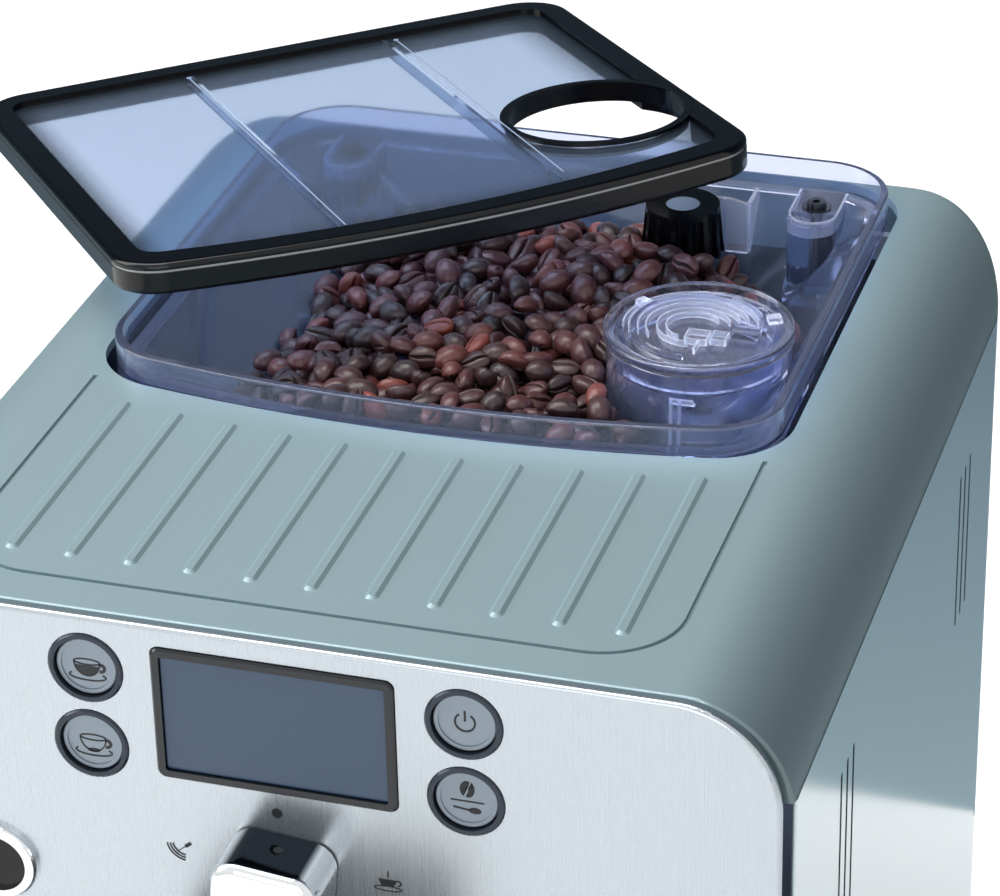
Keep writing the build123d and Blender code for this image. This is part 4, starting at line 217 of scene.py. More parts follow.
ink = plain("printed ink", "101418", 0.45, 0.55, 2000.0, 0.05)
key_cap = plain("key cap", "87939E", 0.3, 0.38, 1400.0, 0.05, metallic=0.35)
key_ring = plain("key ring", "2C343F", 0.16, 0.24, 900.0, 0.02, metallic=0.4)
chrome = plain("polished chrome", "E4E7EA", 0.04, 0.09, 500.0, 0.01, metallic=1.0)
dark_screw = plain("dark screw", "55595F", 0.2, 0.3, 1500.0, 0.05, metallic=1.0)
brass = plain("brass", "B8924A", 0.25, 0.4, 900.0, 0.08, metallic=1.0)
cast_metal = plain("cast aluminium", "A9ACB0", 0.42, 0.6, 1100.0, 0.3, metallic=1.0)
burr_steel = plain("burr steel", "8F9296", 0.3, 0.42, 1500.0, 0.1, metallic=1.0)
float_red = plain("red float", "A51C14", 0.2, 0.3, 1200.0, 0.03)
print("plain finishes made")

# %% [markdown]
# The front and the side panels are brushed steel. Both use the brushing group, the front lighter
# than the sides.

# %% Brushed steel
def brushed(name, code, low, high, dark, metallic, bump=0.1, across=3000.0, along=12.0):
    """A steel whose fine lines run upright, from one colour."""
    material = bpy.data.materials.new(name)
    material.use_nodes = True
    tree = material.node_tree
    shader = tree.nodes["Principled BSDF"]
    shader.inputs["Metallic"].default_value = metallic
    lines = tree.nodes.new("ShaderNodeGroup")
    lines.node_tree = brushing
    for label, value in (("Across", across), ("Along", along), ("Low", low), ("High", high),
                         ("Bump", bump), ("Dark", dark), ("Light", 1.0)):
        lines.inputs[label].default_value = value
    mix = tree.nodes.new("ShaderNodeMix")
    mix.data_type = "RGBA"
    mix.blend_type = "MULTIPLY"
    mix.inputs["Factor"].default_value = 1.0
    mix.inputs["A"].default_value = colour(code)
    tree.links.new(lines.outputs["Tone"], mix.inputs["B"])
    tree.links.new(mix.outputs["Result"], shader.inputs["Base Color"])
    tree.links.new(lines.outputs["Roughness"], shader.inputs["Roughness"])
    tree.links.new(lines.outputs["Normal"], shader.inputs["Normal"])
    return material

front_steel = brushed("front steel", "BCC4CA", 0.22, 0.34, 0.95, 0.85)
side_steel = brushed("side steel", "BAC8CC", 0.1, 0.17, 0.97, 0.92, 0.04)
grate_steel = brushed("grate steel", "B9BDC1", 0.25, 0.38, 0.9, 1.0)
print("brushed finishes made")

# %% [markdown]
# The cover's paint is darkened down its long rounded edges, which is painted shade, more at the
# right than at the left; the lid's window darkens towards its frame, and the hopper's rim is
# bluer than its walls. A group gives such a fade: a tone that changes along one axis of the
# model, between two places.

# %% Group for a fade along an axis
def build_fade():
    """Tone that changes smoothly between two places along an axis."""
    inputs = [("Axis X", 0.0), ("Axis Y", 0.0), ("Axis Z", 1.0), ("Start", 0.0), ("End", 0.3),
              ("Tone at start", 0.5), ("Tone at end", 1.0)]
    group, given, result = new_group("fade along an axis", inputs, [("Tone", "NodeSocketFloat")])
    place = group.nodes.new("ShaderNodeTexCoord")
    axis = group.nodes.new("ShaderNodeCombineXYZ")
    along = group.nodes.new("ShaderNodeVectorMath")
    along.operation = "DOT_PRODUCT"
    fade = group.nodes.new("ShaderNodeMapRange")
    fade.interpolation_type = "SMOOTHSTEP"
    link = group.links.new
    for letter in "XYZ":
        link(given.outputs["Axis " + letter], axis.inputs[letter])
    link(place.outputs["Object"], along.inputs[0])
    link(axis.outputs["Vector"], along.inputs[1])
    link(along.outputs["Value"], fade.inputs["Value"])
    link(given.outputs["Start"], fade.inputs["From Min"])
    link(given.outputs["End"], fade.inputs["From Max"])
    link(given.outputs["Tone at start"], fade.inputs["To Min"])
    link(given.outputs["Tone at end"], fade.inputs["To Max"])
    link(fade.outputs["Result"], result.inputs["Tone"])
    return group

fading = build_fade()
print("group:", fading.name)

# %% Add fades to a finish
def add_fade(material, axis, start, end, tones, tint=None):
    """Multiply a finish's colour by a fade along an axis, or lead it to a tint, in millimetres."""
    tree = material.node_tree
    shader = tree.nodes["Principled BSDF"]
    fade = tree.nodes.new("ShaderNodeGroup")
    fade.node_tree = fading
    for letter, value in zip("XYZ", axis):
        fade.inputs["Axis " + letter].default_value = value
    fade.inputs["Start"].default_value = start * mm
    fade.inputs["End"].default_value = end * mm
    fade.inputs["Tone at start"].default_value = tones[0]
    fade.inputs["Tone at end"].default_value = tones[1]
    mix = tree.nodes.new("ShaderNodeMix")
    mix.data_type = "RGBA"
    mix.blend_type = "MIX" if tint else "MULTIPLY"
    mix.inputs["Factor"].default_value = 1.0
    mix.inputs["B"].default_value = colour(tint or "FFFFFF")
    base = shader.inputs["Base Color"]
    if base.is_linked:
        tree.links.new(base.links[0].from_socket, mix.inputs["A"])
    else:
        mix.inputs["A"].default_value = base.default_value
    tree.links.new(fade.outputs["Tone"], mix.inputs["Factor" if tint else "B"])
    tree.links.new(mix.outputs["Result"], base)

cover_paint = plain("cover paint", "8FA6AB", 0.34, 0.44, 2600.0, 0.16, metallic=0.35)
cover_turn, cover_side = 98, 128
# painted shade: the cover's colour falls to 0.6 over its right rounded edge and to 0.8 over its left
add_fade(cover_paint, (1, 0, 0), cover_turn, cover_side, (1.0, 0.6))
add_fade(cover_paint, (-1, 0, 0), cover_turn, cover_side, (1.0, 0.8))
print("cover darkens over", cover_side - cover_turn, "mm at each side")

# %% [markdown]
# The hopper, the doser's lid and the hopper lid's window are clear plastic. Thin walls look
# nearly colourless and long paths through the plastic, as in a rim, look violet, so the colour
# comes from the depth of the plastic. Light that only lights other things passes straight through,
# which keeps the inside of the hopper bright.

# %% Clear plastic
plastic_ior = 1.46

def clear(name, code, low, high, transmission=1.0, tint="FFFFFF", depth=0.0):
    """A see-through finish, with a tint that deepens in the solid."""
    material = plain(name, code, low, high, 400.0, 0.02)
    tree = material.node_tree
    shader = tree.nodes["Principled BSDF"]
    shader.inputs["Transmission Weight"].default_value = transmission
    shader.inputs["IOR"].default_value = plastic_ior
    surface = tree.nodes["Material Output"].inputs["Surface"]
    path = tree.nodes.new("ShaderNodeLightPath")
    through = tree.nodes.new("ShaderNodeBsdfTransparent")
    through.inputs["Color"].default_value = colour(code)
    choose = tree.nodes.new("ShaderNodeMixShader")
    tree.links.new(path.outputs["Is Shadow Ray"], choose.inputs["Fac"])
    tree.links.new(shader.outputs["BSDF"], choose.inputs[1])
    tree.links.new(through.outputs["BSDF"], choose.inputs[2])
    tree.links.new(choose.outputs["Shader"], surface)
    if depth:
        body = tree.nodes.new("ShaderNodeVolumeAbsorption")
        body.inputs["Color"].default_value = colour(tint)
        body.inputs["Density"].default_value = depth
        tree.links.new(body.outputs["Volume"], tree.nodes["Material Output"].inputs["Volume"])
    return material

hopper_clear = clear("hopper plastic", "DEE7FA", 0.01, 0.03, 0.97, "9DB6FF", 8.0)
rim_start, rim_full = 296, 306
add_fade(hopper_clear, (0, 0, 1), rim_start, rim_full, (0.0, 1.0), "DFE6FF")
doser_clear = clear("doser lid plastic", "EEF2FF", 0.01, 0.03, 0.98, "9CA8FF", 22.0)
moulding = clear("moulded edge", "EEF3FF", 0.03, 0.07, 0.8)
throat_blue = clear("doser throat", "BCC9E6", 0.03, 0.06, 0.92)
tank_clear = clear("tank plastic", "C3CBD8", 0.08, 0.16)
lid_smoked = clear("smoked lid plastic", "B2C4DF", 0.03, 0.07, 0.97)
print("clear finishes made")

# %% [markdown]
# The lid's window is darkest where it meets its frame. The lid lies turned and tilted, so three
# directions of its own and its middle say where its edges are, here and for its lines further on.

# %% Dark edge of the lid's window
lid_across = Vector((0.7836, 0.6211, 0.0122))
lid_along = Vector((-0.6167, 0.7802, -0.1049))
lid_out = Vector((-0.0747, 0.0746, 0.9944))
lid_middle = Vector((-59.0, 97.2, 325.7))
window_edges = ((-lid_across, 76, 89), (lid_across, 66, 89), (lid_along, 62, 80), (-lid_along, 62, 88))
edge_tone = 0.1
for outward, inner, outer in window_edges:
    offset = outward.dot(lid_middle)
    add_fade(lid_smoked, outward, offset + inner, offset + outer, (1.0, edge_tone))
print("lid window faded at", len(window_edges), "edges")

# %% [markdown]
# The selector is polished, and its upper side is a facet with a dot. That facet carries a painted
# reflection: it is darkened as if it mirrored the dark surroundings behind the machine. The facet
# is found by the direction that its surface faces, in the knob's own coordinates, so the painted
# dark turns with it.

# %% Selector finish
chrome_code, painted_reflection_code = "E4E7EA", "252D35"
facet_from, facet_to = 0.86, 0.97
selector_chrome = plain("selector chrome", chrome_code, 0.05, 0.1, 500.0, 0.01, metallic=0.95)
tree = selector_chrome.node_tree
facing = tree.nodes.new("ShaderNodeSeparateXYZ")
place = tree.nodes.new("ShaderNodeTexCoord")
# painted reflection: surfaces that face up in the knob's coordinates are led to a dark colour
upward_painted_reflection = tree.nodes.new("ShaderNodeMapRange")
upward_painted_reflection.inputs["From Min"].default_value = facet_from
upward_painted_reflection.inputs["From Max"].default_value = facet_to
mix = tree.nodes.new("ShaderNodeMix")
mix.data_type = "RGBA"
mix.inputs["A"].default_value = colour(chrome_code)
mix.inputs["B"].default_value = colour(painted_reflection_code)
tree.links.new(place.outputs["Normal"], facing.inputs["Vector"])
tree.links.new(facing.outputs["Z"], upward_painted_reflection.inputs["Value"])
tree.links.new(upward_painted_reflection.outputs["Result"], mix.inputs["Factor"])
tree.links.new(mix.outputs["Result"], tree.nodes["Principled BSDF"].inputs["Base Color"])
print("selector finish made")

# %% [markdown]
# Each solid now gets its finish. The table names every node once, so none keeps a bare colour.

# %% Finishes for the solids
finishes = {
    cover_paint: ["top_cover"],
    front_steel: ["front_fascia"],
    side_steel: ["right_side_panel", "left_side_panel", "service_door", "rear_cover"],
    grate_steel: ["drip_grate"],
    hopper_clear: ["hopper"],
    doser_clear: ["doser_lid"],
    tank_clear: ["water_tank"],
    lid_smoked: ["lid_panel"],
    black_gloss: ["lid_frame", "lid_hole_ring", "grinder_knob", "badge_disc"],
    black_satin: ["power_rocker", "dispenser_housing", "spout_carriage", "wand_sleeve"],
    black_matte: ["power_inlet", "brew_group", "grounds_chute", "pump", "tank_valve"],
    dark_matte: ["lower_front_panel", "base_chassis", "grounds_drawer", "drip_tray", "tank_lid"],
    frame_grey: ["front_bulkhead", "rear_bulkhead", "machine_shelf", "brew_bay"],
    pale_plastic: ["lid_trim", "brew_piston", "flow_meter"],
    grey_inlay: ["knob_inlay"],
    backing_grey: ["fascia_backing"],
    rubber: ["rubber_feet"],
    hose_rubber: ["water_hoses"],
    bezel_gloss: ["display_bezel"],
    screen_blue: ["display_screen"],
    board_green: ["control_board"],
    key_cap: ["button_cup_full", "button_cup_half", "button_power", "button_coffee"],
    key_ring: ["button_rings"],
    selector_chrome: ["selector_knob"],
    chrome: ["badge_ring", "steam_pipe"],
    dark_screw: ["hopper_screws", "rear_screws"],
    brass: ["selector_valve", "boiler"],
    cast_metal: ["grinder_housing", "grinder_motor"],
    burr_steel: ["upper_burr", "lower_burr"],
    float_red: ["tray_float"],
}
for material, names in finishes.items():
    for name in names:
        nodes[name].data.materials.clear()
        nodes[name].data.materials.append(material)
dressed = {name for names in finishes.values() for name in names}
print("solids dressed:", len(dressed), "left over:", sorted(set(nodes) - dressed))

# %% [markdown]
# Coffee beans. A roasted bean is a half ellipsoid: round on its back, flatter on its front, with a
# curved crease along the flat side. One mesh of that form is bent out of a sphere, whose lines lie
# closest together at the crease, and the heap is many turned copies of it, joined into one piece.

# %% One bean
bean_length = 9.8
bean_width = 7.3
bean_height = 7.6
bean_turns = (0, 22, 44, 62, 75, 82, 87, 90, 93, 98, 105, 118, 136, 158, 180, 210, 240, 270, 300,
              330)
crease_width, crease_depth = 0.1, 0.36
crease_swing, crease_wave = 0.11, 2.8
lip_place, lip_width, lip_height = 0.24, 0.12, 0.07
flat_share = 0.42

def bean_points(rings=12):
    """Points, faces and crease depth of one bean about its own middle, in millimetres."""
    points, faces, creases = [], [], []
    for ring in range(rings + 1):
        tilt = math.pi * ring / rings
        for turn in (math.radians(degrees) for degrees in bean_turns):
            x = math.cos(tilt)
            y = math.sin(tilt) * math.cos(turn)
            z = math.sin(tilt) * math.sin(turn)
            crease = 0.0
            if z > 0:
                crease = math.exp(-(math.cos(turn) / crease_width) ** 2) * math.sin(tilt) ** 0.5
                from_lip = (abs(math.cos(turn)) - lip_place) / lip_width
                lips = math.exp(-from_lip ** 2) * math.sin(tilt)
                y += crease_swing * math.sin(crease_wave * x) * z
                z = z * flat_share - crease_depth * crease + lip_height * lips
            points.append((x * bean_length / 2, y * bean_width / 2, z * bean_height / 2))
            creases.append(crease)
    segments = len(bean_turns)
    for ring in range(rings):
        for segment in range(segments):
            after = (segment + 1) % segments
            faces.append((ring * segments + segment, ring * segments + after,
                          (ring + 1) * segments + after, (ring + 1) * segments + segment))
    return points, faces, creases

bean_shape = bean_points()
print("points in a bean:", len(bean_shape[0]))

# %% [markdown]
# The beans fill the hopper's funnel: level in the middle, lower at the left, and falling away to
# the right behind the doser. The surface is a small height function, and so is the funnel itself.

# %% Heap and funnel heights
heap_top = 300.0
left_from, left_slope = -28.0, 0.24
right_from, right_slope = 42.0, 0.9
rear_from, rear_slope = 95.0, 0.35
wave_height, wave_length, wave_seed = 2.2, 26.0, 0.4

def heap_height(x, y):
    """Top of the beans over a point, in millimetres."""
    height = heap_top
    height -= max(0.0, left_from - x) * left_slope
    height -= max(0.0, x - right_from) * right_slope
    height -= max(0.0, y - rear_from) * rear_slope
    height += wave_height * noise.noise(Vector((x / wave_length, y / wave_length, wave_seed)))
    return height

mouth_z = 253.2
mouth_left, mouth_right, mouth_front, mouth_rear = -3.8, 43.8, 44.2, 95.8

def funnel_height(x, y):
    """Top of the funnel's wall over a point."""
    slopes = ((mouth_left - x) * 0.581, (x - mouth_right) * 1.121, (mouth_front - y) * 0.672,
              (y - mouth_rear) * 1.269)
    return mouth_z + max(0.0, *slopes)

post_radius = 12.2

def free_of_fittings(x, y, room):
    """True where neither the doser nor the knob's post stands."""
    from_doser = math.hypot(x - doser[0], y - doser[1])
    from_knob = math.hypot(x - knob[0], y - knob[1])
    return from_doser > doser_radius + room and from_knob > post_radius + room * 0.4

print("heap over the middle:", round(heap_height(0, 40), 1))

# %% Lay the beans
attempts = 9000
field_x, field_front, field_rear = 84, -26, 132
half_bean, layer_step = 3.0, 4.4
fitting_room = 3.6

def scatter(layer, spacing, chance):
    """Bean places in one layer: no two closer than the spacing."""
    places = []
    for attempt in range(attempts):
        x = chance.uniform(-field_x, field_x)
        y = chance.uniform(field_front, field_rear)
        z = heap_height(x, y) - half_bean - layer * layer_step
        if z < funnel_height(x, y) + half_bean or not free_of_fittings(x, y, fitting_room):
            continue
        if all((x - a) ** 2 + (y - b) ** 2 > spacing ** 2 for a, b, c in places):
            places.append((x, y, z + chance.uniform(-1.7, 1.3)))
    return places

def beans_mesh(name, spots, chance, material):
    """One mesh of a bean at each spot, each turned and roasted its own way."""
    points, faces, roasts, creases = [], [], [], []
    shape_points, shape_faces, shape_creases = bean_shape
    for x, y, z in spots:
        turn = Matrix.Rotation(chance.uniform(0, 2 * math.pi), 3, "Z")
        lean = Matrix.Rotation(chance.gauss(0, 0.75), 3, "X")
        lean = lean @ Matrix.Rotation(chance.gauss(0, 0.5), 3, "Y")
        flip = Matrix.Rotation(math.pi if chance.random() < 0.5 else 0.0, 3, "X")
        size = chance.uniform(0.84, 1.08)
        start = len(points)
        roast = chance.random()
        for p, crease in zip(shape_points, shape_creases):
            points.append(turn @ lean @ flip @ Vector(p) * size + Vector((x, y, z)))
            roasts.append(roast)
            creases.append(crease)
        faces.extend(tuple(start + i for i in face) for face in shape_faces)
    piece = make_object(name, points, faces, material)
    for label, values in (("roast", roasts), ("crease", creases)):
        layer = piece.data.attributes.new(label, "FLOAT", "POINT")
        layer.data.foreach_set("value", values)
    return piece

def bean_finish():
    """Brown that differs from bean to bean, with painted shade in the creases."""
    material = plain("roasted bean", "6A3B34", 0.24, 0.4, 620.0, 0.9)
    tree = material.node_tree
    shader = tree.nodes["Principled BSDF"]
    roast = tree.nodes.new("ShaderNodeAttribute")
    roast.attribute_name = "roast"
    tones = tree.nodes.new("ShaderNodeValToRGB")
    tones.color_ramp.elements[0].color = colour("2E2224")
    tones.color_ramp.elements[1].color = colour("8C463C")
    for place, code in ((0.35, "422B2B"), (0.75, "5A3435"), (0.93, "6B3D39")):
        tones.color_ramp.elements.new(place).color = colour(code)
    crease = tree.nodes.new("ShaderNodeAttribute")
    crease.attribute_name = "crease"
    # painted shade: the colour is led towards a dark brown by the depth of the crease
    mix = tree.nodes.new("ShaderNodeMix")
    mix.data_type = "RGBA"
    mix.inputs["B"].default_value = colour("1C0F0D")
    tree.links.new(roast.outputs["Fac"], tones.inputs["Fac"])
    tree.links.new(tones.outputs["Color"], mix.inputs["A"])
    tree.links.new(crease.outputs["Fac"], mix.inputs["Factor"])
    tree.links.new(mix.outputs["Result"], shader.inputs["Base Color"])
    return material

bean_layers, bean_spacing = 3, 5.9
chance = random.Random(7)
spots = [spot for layer in range(bean_layers) for spot in scatter(layer, bean_spacing, chance)]
beans = beans_mesh("coffee_beans", spots, chance, bean_finish())
print("beans laid:", len(spots))

# %% [markdown]
# The keys carry printed signs: a full cup, a lighter cup, a power sign, and a bean over a line and
# a spoon. Each sign is a set of thin plates cut to an outline. The same kind of plate also makes
# small mouldings, so the helper takes the plane it lies in and its thickness.

# %% Outlines and plates
def band(path, width):
    """Outline of a band that follows a path of points."""
    left, right = [], []
    for i, (x, z) in enumerate(path):
        ahead = Vector(path[min(i + 1, len(path) - 1)])
        behind = Vector(path[max(i - 1, 0)])
        along = (ahead - behind).normalized()
        side = Vector((-along.y, along.x)) * width / 2
        left.append((x + side.x, z + side.y))
        right.append((x - side.x, z - side.y))
    return left + right[::-1]

def arc(x, z, radius_x, radius_z, start, end, steps=24):
    """Points on part of an ellipse, between two angles in degrees."""
    span = [math.radians(start + (end - start) * i / steps) for i in range(steps + 1)]
    return [(x + radius_x * math.cos(a), z + radius_z * math.sin(a)) for a in span]

def loop(x, z, radius_x, radius_z, width):
    """A whole ellipse in outline, as two bands."""
    return [band(arc(x, z, radius_x, radius_z, start, start + 180), width) for start in (0, 180)]

def plates(name, outlines, origin, plane, thickness, material, body="machine"):
    """Plates in the plane of two directions, in millimetres, with a thickness across it."""
    across, along = (Vector(direction) for direction in plane)
    out = across.cross(along)
    mesh = bpy.data.meshes.new(name)
    build = bmesh.new()
    for outline in outlines:
        corners = [build.verts.new((Vector(origin) + across * a + along * b) * mm)
                   for a, b in outline]
        grown = bmesh.ops.extrude_face_region(build, geom=[build.faces.new(corners)])
        moved = [g for g in grown["geom"] if isinstance(g, bmesh.types.BMVert)]
        bmesh.ops.translate(build, verts=moved, vec=out * thickness * mm)
    bmesh.ops.triangulate(build, faces=build.faces)
    bmesh.ops.recalc_face_normals(build, faces=build.faces)
    build.to_mesh(mesh)
    build.free()
    mesh.materials.append(material)
    piece = bpy.data.objects.new(name, mesh)
    bpy.context.scene.collection.objects.link(piece)
    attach(piece, body)
    return piece

front_plane = ((1, 0, 0), (0, 0, 1))
level_plane = ((1, 0, 0), (0, 1, 0))
side_plane = ((0, 1, 0), (0, 0, 1))
ink_thickness = 0.14

def sign(name, shapes, place, y, body="machine"):
    """A printed sign that faces the front."""
    return plates(name, shapes, (place[0], y, place[1]), front_plane, ink_thickness, ink, body)

# %% Signs on the four keys
def cup_shapes(filled, scale=1.0):
    """A cup on its saucer, full of coffee or empty."""
    bowl = arc(0, 1.0, 3.4, 3.9, 180, 360)
    handle = band(arc(3.6, -0.3, 1.0, 1.0, -110, 110), 0.75)
    shapes = loop(0, 1.1, 3.4, 0.8, 0.35) + [band(bowl, 0.35), handle]
    if filled:
        shapes.append(arc(0, 1.0, 3.3, 3.8, 196, 344))
    else:
        shapes.append(arc(0, -2.6, 1.7, 0.55, 0, 360)[:-1])
    shapes += [band(arc(0, -3.0, 4.8, 1.2, 150, 395, 36), 0.38)]
    return [[(x * scale, z * scale) for x, z in shape] for shape in shapes]

def bean_shapes():
    """A bean over a line over a spoon."""
    left = arc(-0.1, 2.9, 1.7, 2.3, 62, 242)
    crease = [(-0.9, 0.9), (-0.3, 2.2), (-0.2, 3.5), (0.7, 4.9)]
    right = [(x + 0.55, z) for x, z in crease][::-1] + arc(0.3, 2.9, 1.6, 2.3, 242, 422)[1:]
    spoon = arc(1.9, -3.1, 1.6, 0.85, 0, 360)[:-1]
    return [left + crease[::-1], right, band([(-4.2, -0.6), (4.2, -0.6)], 0.35), spoon,
            band([(0.7, -3.1), (-3.6, -2.6)], 0.45)]

power_shapes = [band(arc(0, 0, 2.5, 2.5, 125, 415, 36), 0.5), band([(0, 0.3), (0, 3.2)], 0.5)]
sign("sign_cup_full", cup_shapes(True), (-key_x, key_z[0]), key_y, "cup_full_key")
sign("sign_cup_light", cup_shapes(False), (-key_x, key_z[1]), key_y, "cup_half_key")
sign("sign_power", power_shapes, (key_x, key_z[0]), key_y, "power_key")
sign("sign_bean_spoon", bean_shapes(), (key_x, key_z[1]), key_y, "coffee_key")
print("key signs made")

# %% [markdown]
# Beside the selector the steel carries a steam sign at the left and a hot water sign at the right,
# and a dot above the knob and one on its upper facet show where it points. The facet is a little
# askew, so a ray sent down on the knob finds the place and the slope of its dot.

# %% Signs on the steel front
steam_shapes = [band([(-0.2, 0.3), (1.9, 1.9)], 0.22), band([(1.6, 1.7), (3.1, 2.9)], 0.95)]
for reach in (3.6, 4.4, 5.2):
    steam_shapes.append(band(arc(1.9, 2.7, reach, reach, 188, 264), 0.36))
water_shapes = [[(-2.5, 0.8), (-1.7, -1.1), (1.5, -1.1), (2.5, 0.8)],
                band(arc(2.6, 0.0, 0.8, 0.7, -100, 110), 0.4), band([(0.1, 1.5), (0.1, 3.3)], 0.4),
                *loop(0, -1.9, 3.6, 0.7, 0.3)]
sign("sign_steam", steam_shapes, (-27.0, 239.5), front_y)
sign("sign_hot_water", water_shapes, (27.6, 240.3), front_y)
sign("selector_mark", [arc(0, 0, 1.4, 1.4, 0, 360, 28)[:-1]], (-0.5, 255.7), front_y)
above_facet = Vector((2.1, -153.5, 320.0)) * mm
found, spot, slope, _ = nodes["selector_knob"].ray_cast(above_facet, Vector((0, 0, -1)))
level_on_facet = (Vector((1, 0, 0)) - slope * slope.x).normalized()
facet_plane = (level_on_facet, slope.cross(level_on_facet))
dot_thickness = 0.12
plates("selector_dot", [arc(0, 0, 1.3, 1.3, 0, 360, 28)[:-1]], spot / mm, facet_plane, dot_thickness,
       ink, "selector")
print("front signs made, dot on the knob at", [round(v / mm, 1) for v in spot])

# %% [markdown]
# Small clear mouldings in the hopper catch the light: an upright bracket beside the knob, and a
# raised edge with a dark washer round each screw's tab. The bracket is a plate with a rib, and a
# flange at right angles to it.

# %% Hopper mouldings
bracket_y, bracket_foot, bracket_shoulder, bracket_top = 122.0, 286.5, 302.4, 303.6
bracket = [(0, bracket_foot), (10.4, bracket_foot), (10.4, bracket_shoulder), (5.0, bracket_top),
           (0, bracket_top)]
bracket_rib = band([(3.4, bracket_foot), (3.4, 303.4)], 0.7)
plates("knob_bracket", [bracket, bracket_rib], (41.8, bracket_y, 0.0), front_plane, 1.6, moulding)
flange = [(0, bracket_foot), (11.0, 299.5), (11.0, bracket_shoulder), (0, bracket_shoulder)]
plates("bracket_flange", [flange], (51.6, bracket_y, 0.0), side_plane, 1.2, moulding)
tab_radius, tab_bend, tab_rear, tab_drop = 6.9, 121.5, 136.5, 4.0
for side in (-1, 1):
    where = "left" if side < 0 else "right"
    middle = side * tab[0]
    edge = arc(middle, tab_bend, tab_radius, tab_radius, 180, 360)
    edge = [(middle - tab_radius, tab_rear)] + edge + [(middle + tab_radius, tab_rear)]
    plates("tab_edge_" + where, [band(edge, 0.7)], (0, 0, ledge_z - tab_drop), level_plane,
           tab_drop + 0.4, moulding)
    washer = loop(middle, tab[1], 3.7, 3.7, 1.4)
    plates("tab_washer_" + where, washer, (0, 0, ledge_z), level_plane, 0.5, dark_screw)
print("bracket, tab edges and washers made")

# %% [markdown]
# The doser has a double upright rib with a hook in front, and a lid with two catches, rings that
# are open at one side and small frames. The lid's details ride on the doser's lid, so they lift
# with it.

# %% Doser rib and lid details
doser_front = doser[1] - doser_radius
rib_foot, rib_top = 284.0, 302.6
ribs = [[(x, rib_foot), (x + 0.9, rib_foot), (x + 0.9, rib_top), (x, rib_top)] for x in (-1.6, 0.7)]
hook = [(-1.6, 301.6), (5.5, 301.6), (4.6, 303.0), (-1.6, 303.0)]
plates("doser_rib", ribs + [hook], (doser[0], doser_front + 0.35, 0.0), front_plane, 1.0, moulding)
catch_radius, catch_half, catch_width = 21.0, 1.9, 3.0
catches = []
for degrees in (28, 150):
    out = Vector((math.cos(math.radians(degrees)), math.sin(math.radians(degrees))))
    middle = Vector(doser) + out * catch_radius
    catches.append(band([tuple(middle - out * catch_half), tuple(middle + out * catch_half)],
                        catch_width))
frames = [band([(60.0, 16.5), (66.0, 16.5), (66.0, 22.0), (60.0, 22.0), (60.0, 16.9)], 0.6),
          band([(66.8, 17.5), (71.0, 17.5), (71.0, 22.5), (66.8, 22.5), (66.8, 17.9)], 0.5),
          band([(64.0, 11.0), (64.0, 16.0)], 0.6)]
ring_middle, ring_width = doser[0] - 1.5, 0.42
ring_arcs = ((7.5, 40, 250), (10.0, 25, 275), (13.0, 30, 215), (15.2, 25, 205), (17.6, 20, 200),
             (19.2, 30, 190))
rings = [band(arc(ring_middle, doser[1], radius, radius, start, end, 40), ring_width)
         for radius, start, end in ring_arcs]
cap_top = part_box("doser_lid")[1][2] / mm
plates("doser_lid_details", catches + frames + rings, (0, 0, cap_top - 2.0), level_plane, 1.8,
       moulding, "doser_cap")
print("rib and", len(rings), "rings made")

# %% [markdown]
# Inside the doser's tube a throat narrows downwards. It is a lathe form: a few radii at their
# heights, turned round the tube's axis.

# %% Doser throat
throat = ((22.6, 303.0), (22.4, 296.0), (15.0, 284.0), (9.5, 270.0), (9.0, 262.0))
steps = 48
throat_points = [(doser[0] + radius * math.cos(2 * math.pi * i / steps),
                  doser[1] + radius * math.sin(2 * math.pi * i / steps), z)
                 for radius, z in throat for i in range(steps)]
throat_faces = []
for row in range(len(throat) - 1):
    for i in range(steps):
        after = (i + 1) % steps
        throat_faces.append((row * steps + i, row * steps + after, (row + 1) * steps + after,
                             (row + 1) * steps + i))
make_object("doser_throat", throat_points, throat_faces, throat_blue)
print("throat made of", len(throat_faces), "faces")

# %% [markdown]
# Two fine lines cross the lid's window, each with a bright point at its rear end. They lie in the
# lid's own plane, so they are placed with the lid's own directions.

# %% Lines in the lid's window
line_half, line_thickness, line_lift = 0.2, 0.1, 0.02
line_origin = lid_middle + lid_out * line_lift
for number, (x, front, rear) in enumerate(((-30.6, -76.0, 70.5), (36.6, -69.0, 70.0))):
    line = [(x - line_half, front), (x + line_half, front), (x + line_half, rear),
            (x - line_half, rear)]
    point = arc(x, rear, 0.8, 0.8, 0, 360, 20)[:-1]
    plates("window_line_%d" % number, [line, point], line_origin, (lid_across, lid_along),
           line_thickness, window_line, "hopper_lid")
print("window lines made")

# %% [markdown]
# Light and ground. Broad soft lamps stand for a studio, at a plain level, most of it from the
# left and above, which leaves the right edge of the cover darker. The ground is pale and catches
# the machine's shadow, and the world is white behind it.

# %% Lamps and world
def lamp(name, place, aim, size, watts):
    """A square soft lamp that faces a point."""
    light = bpy.data.lights.new(name, "AREA")
    light.size = size
    light.energy = watts
    piece = bpy.data.objects.new(name, light)
    piece.location = place
    piece.rotation_euler = (Vector(aim) - Vector(place)).to_track_quat("-Z", "Y").to_euler()
    bpy.context.scene.collection.objects.link(piece)

centre = (0.0, 0.0, 0.25)
lamp("lamp_top", (-0.5, 0.1, 1.6), centre, 1.2, 23.0)
lamp("lamp_left", (-1.4, -0.3, 1.0), centre, 1.0, 13.0)
lamp("lamp_front", (0.1, -1.6, 0.7), centre, 1.0, 5.5)
world_level = 0.36

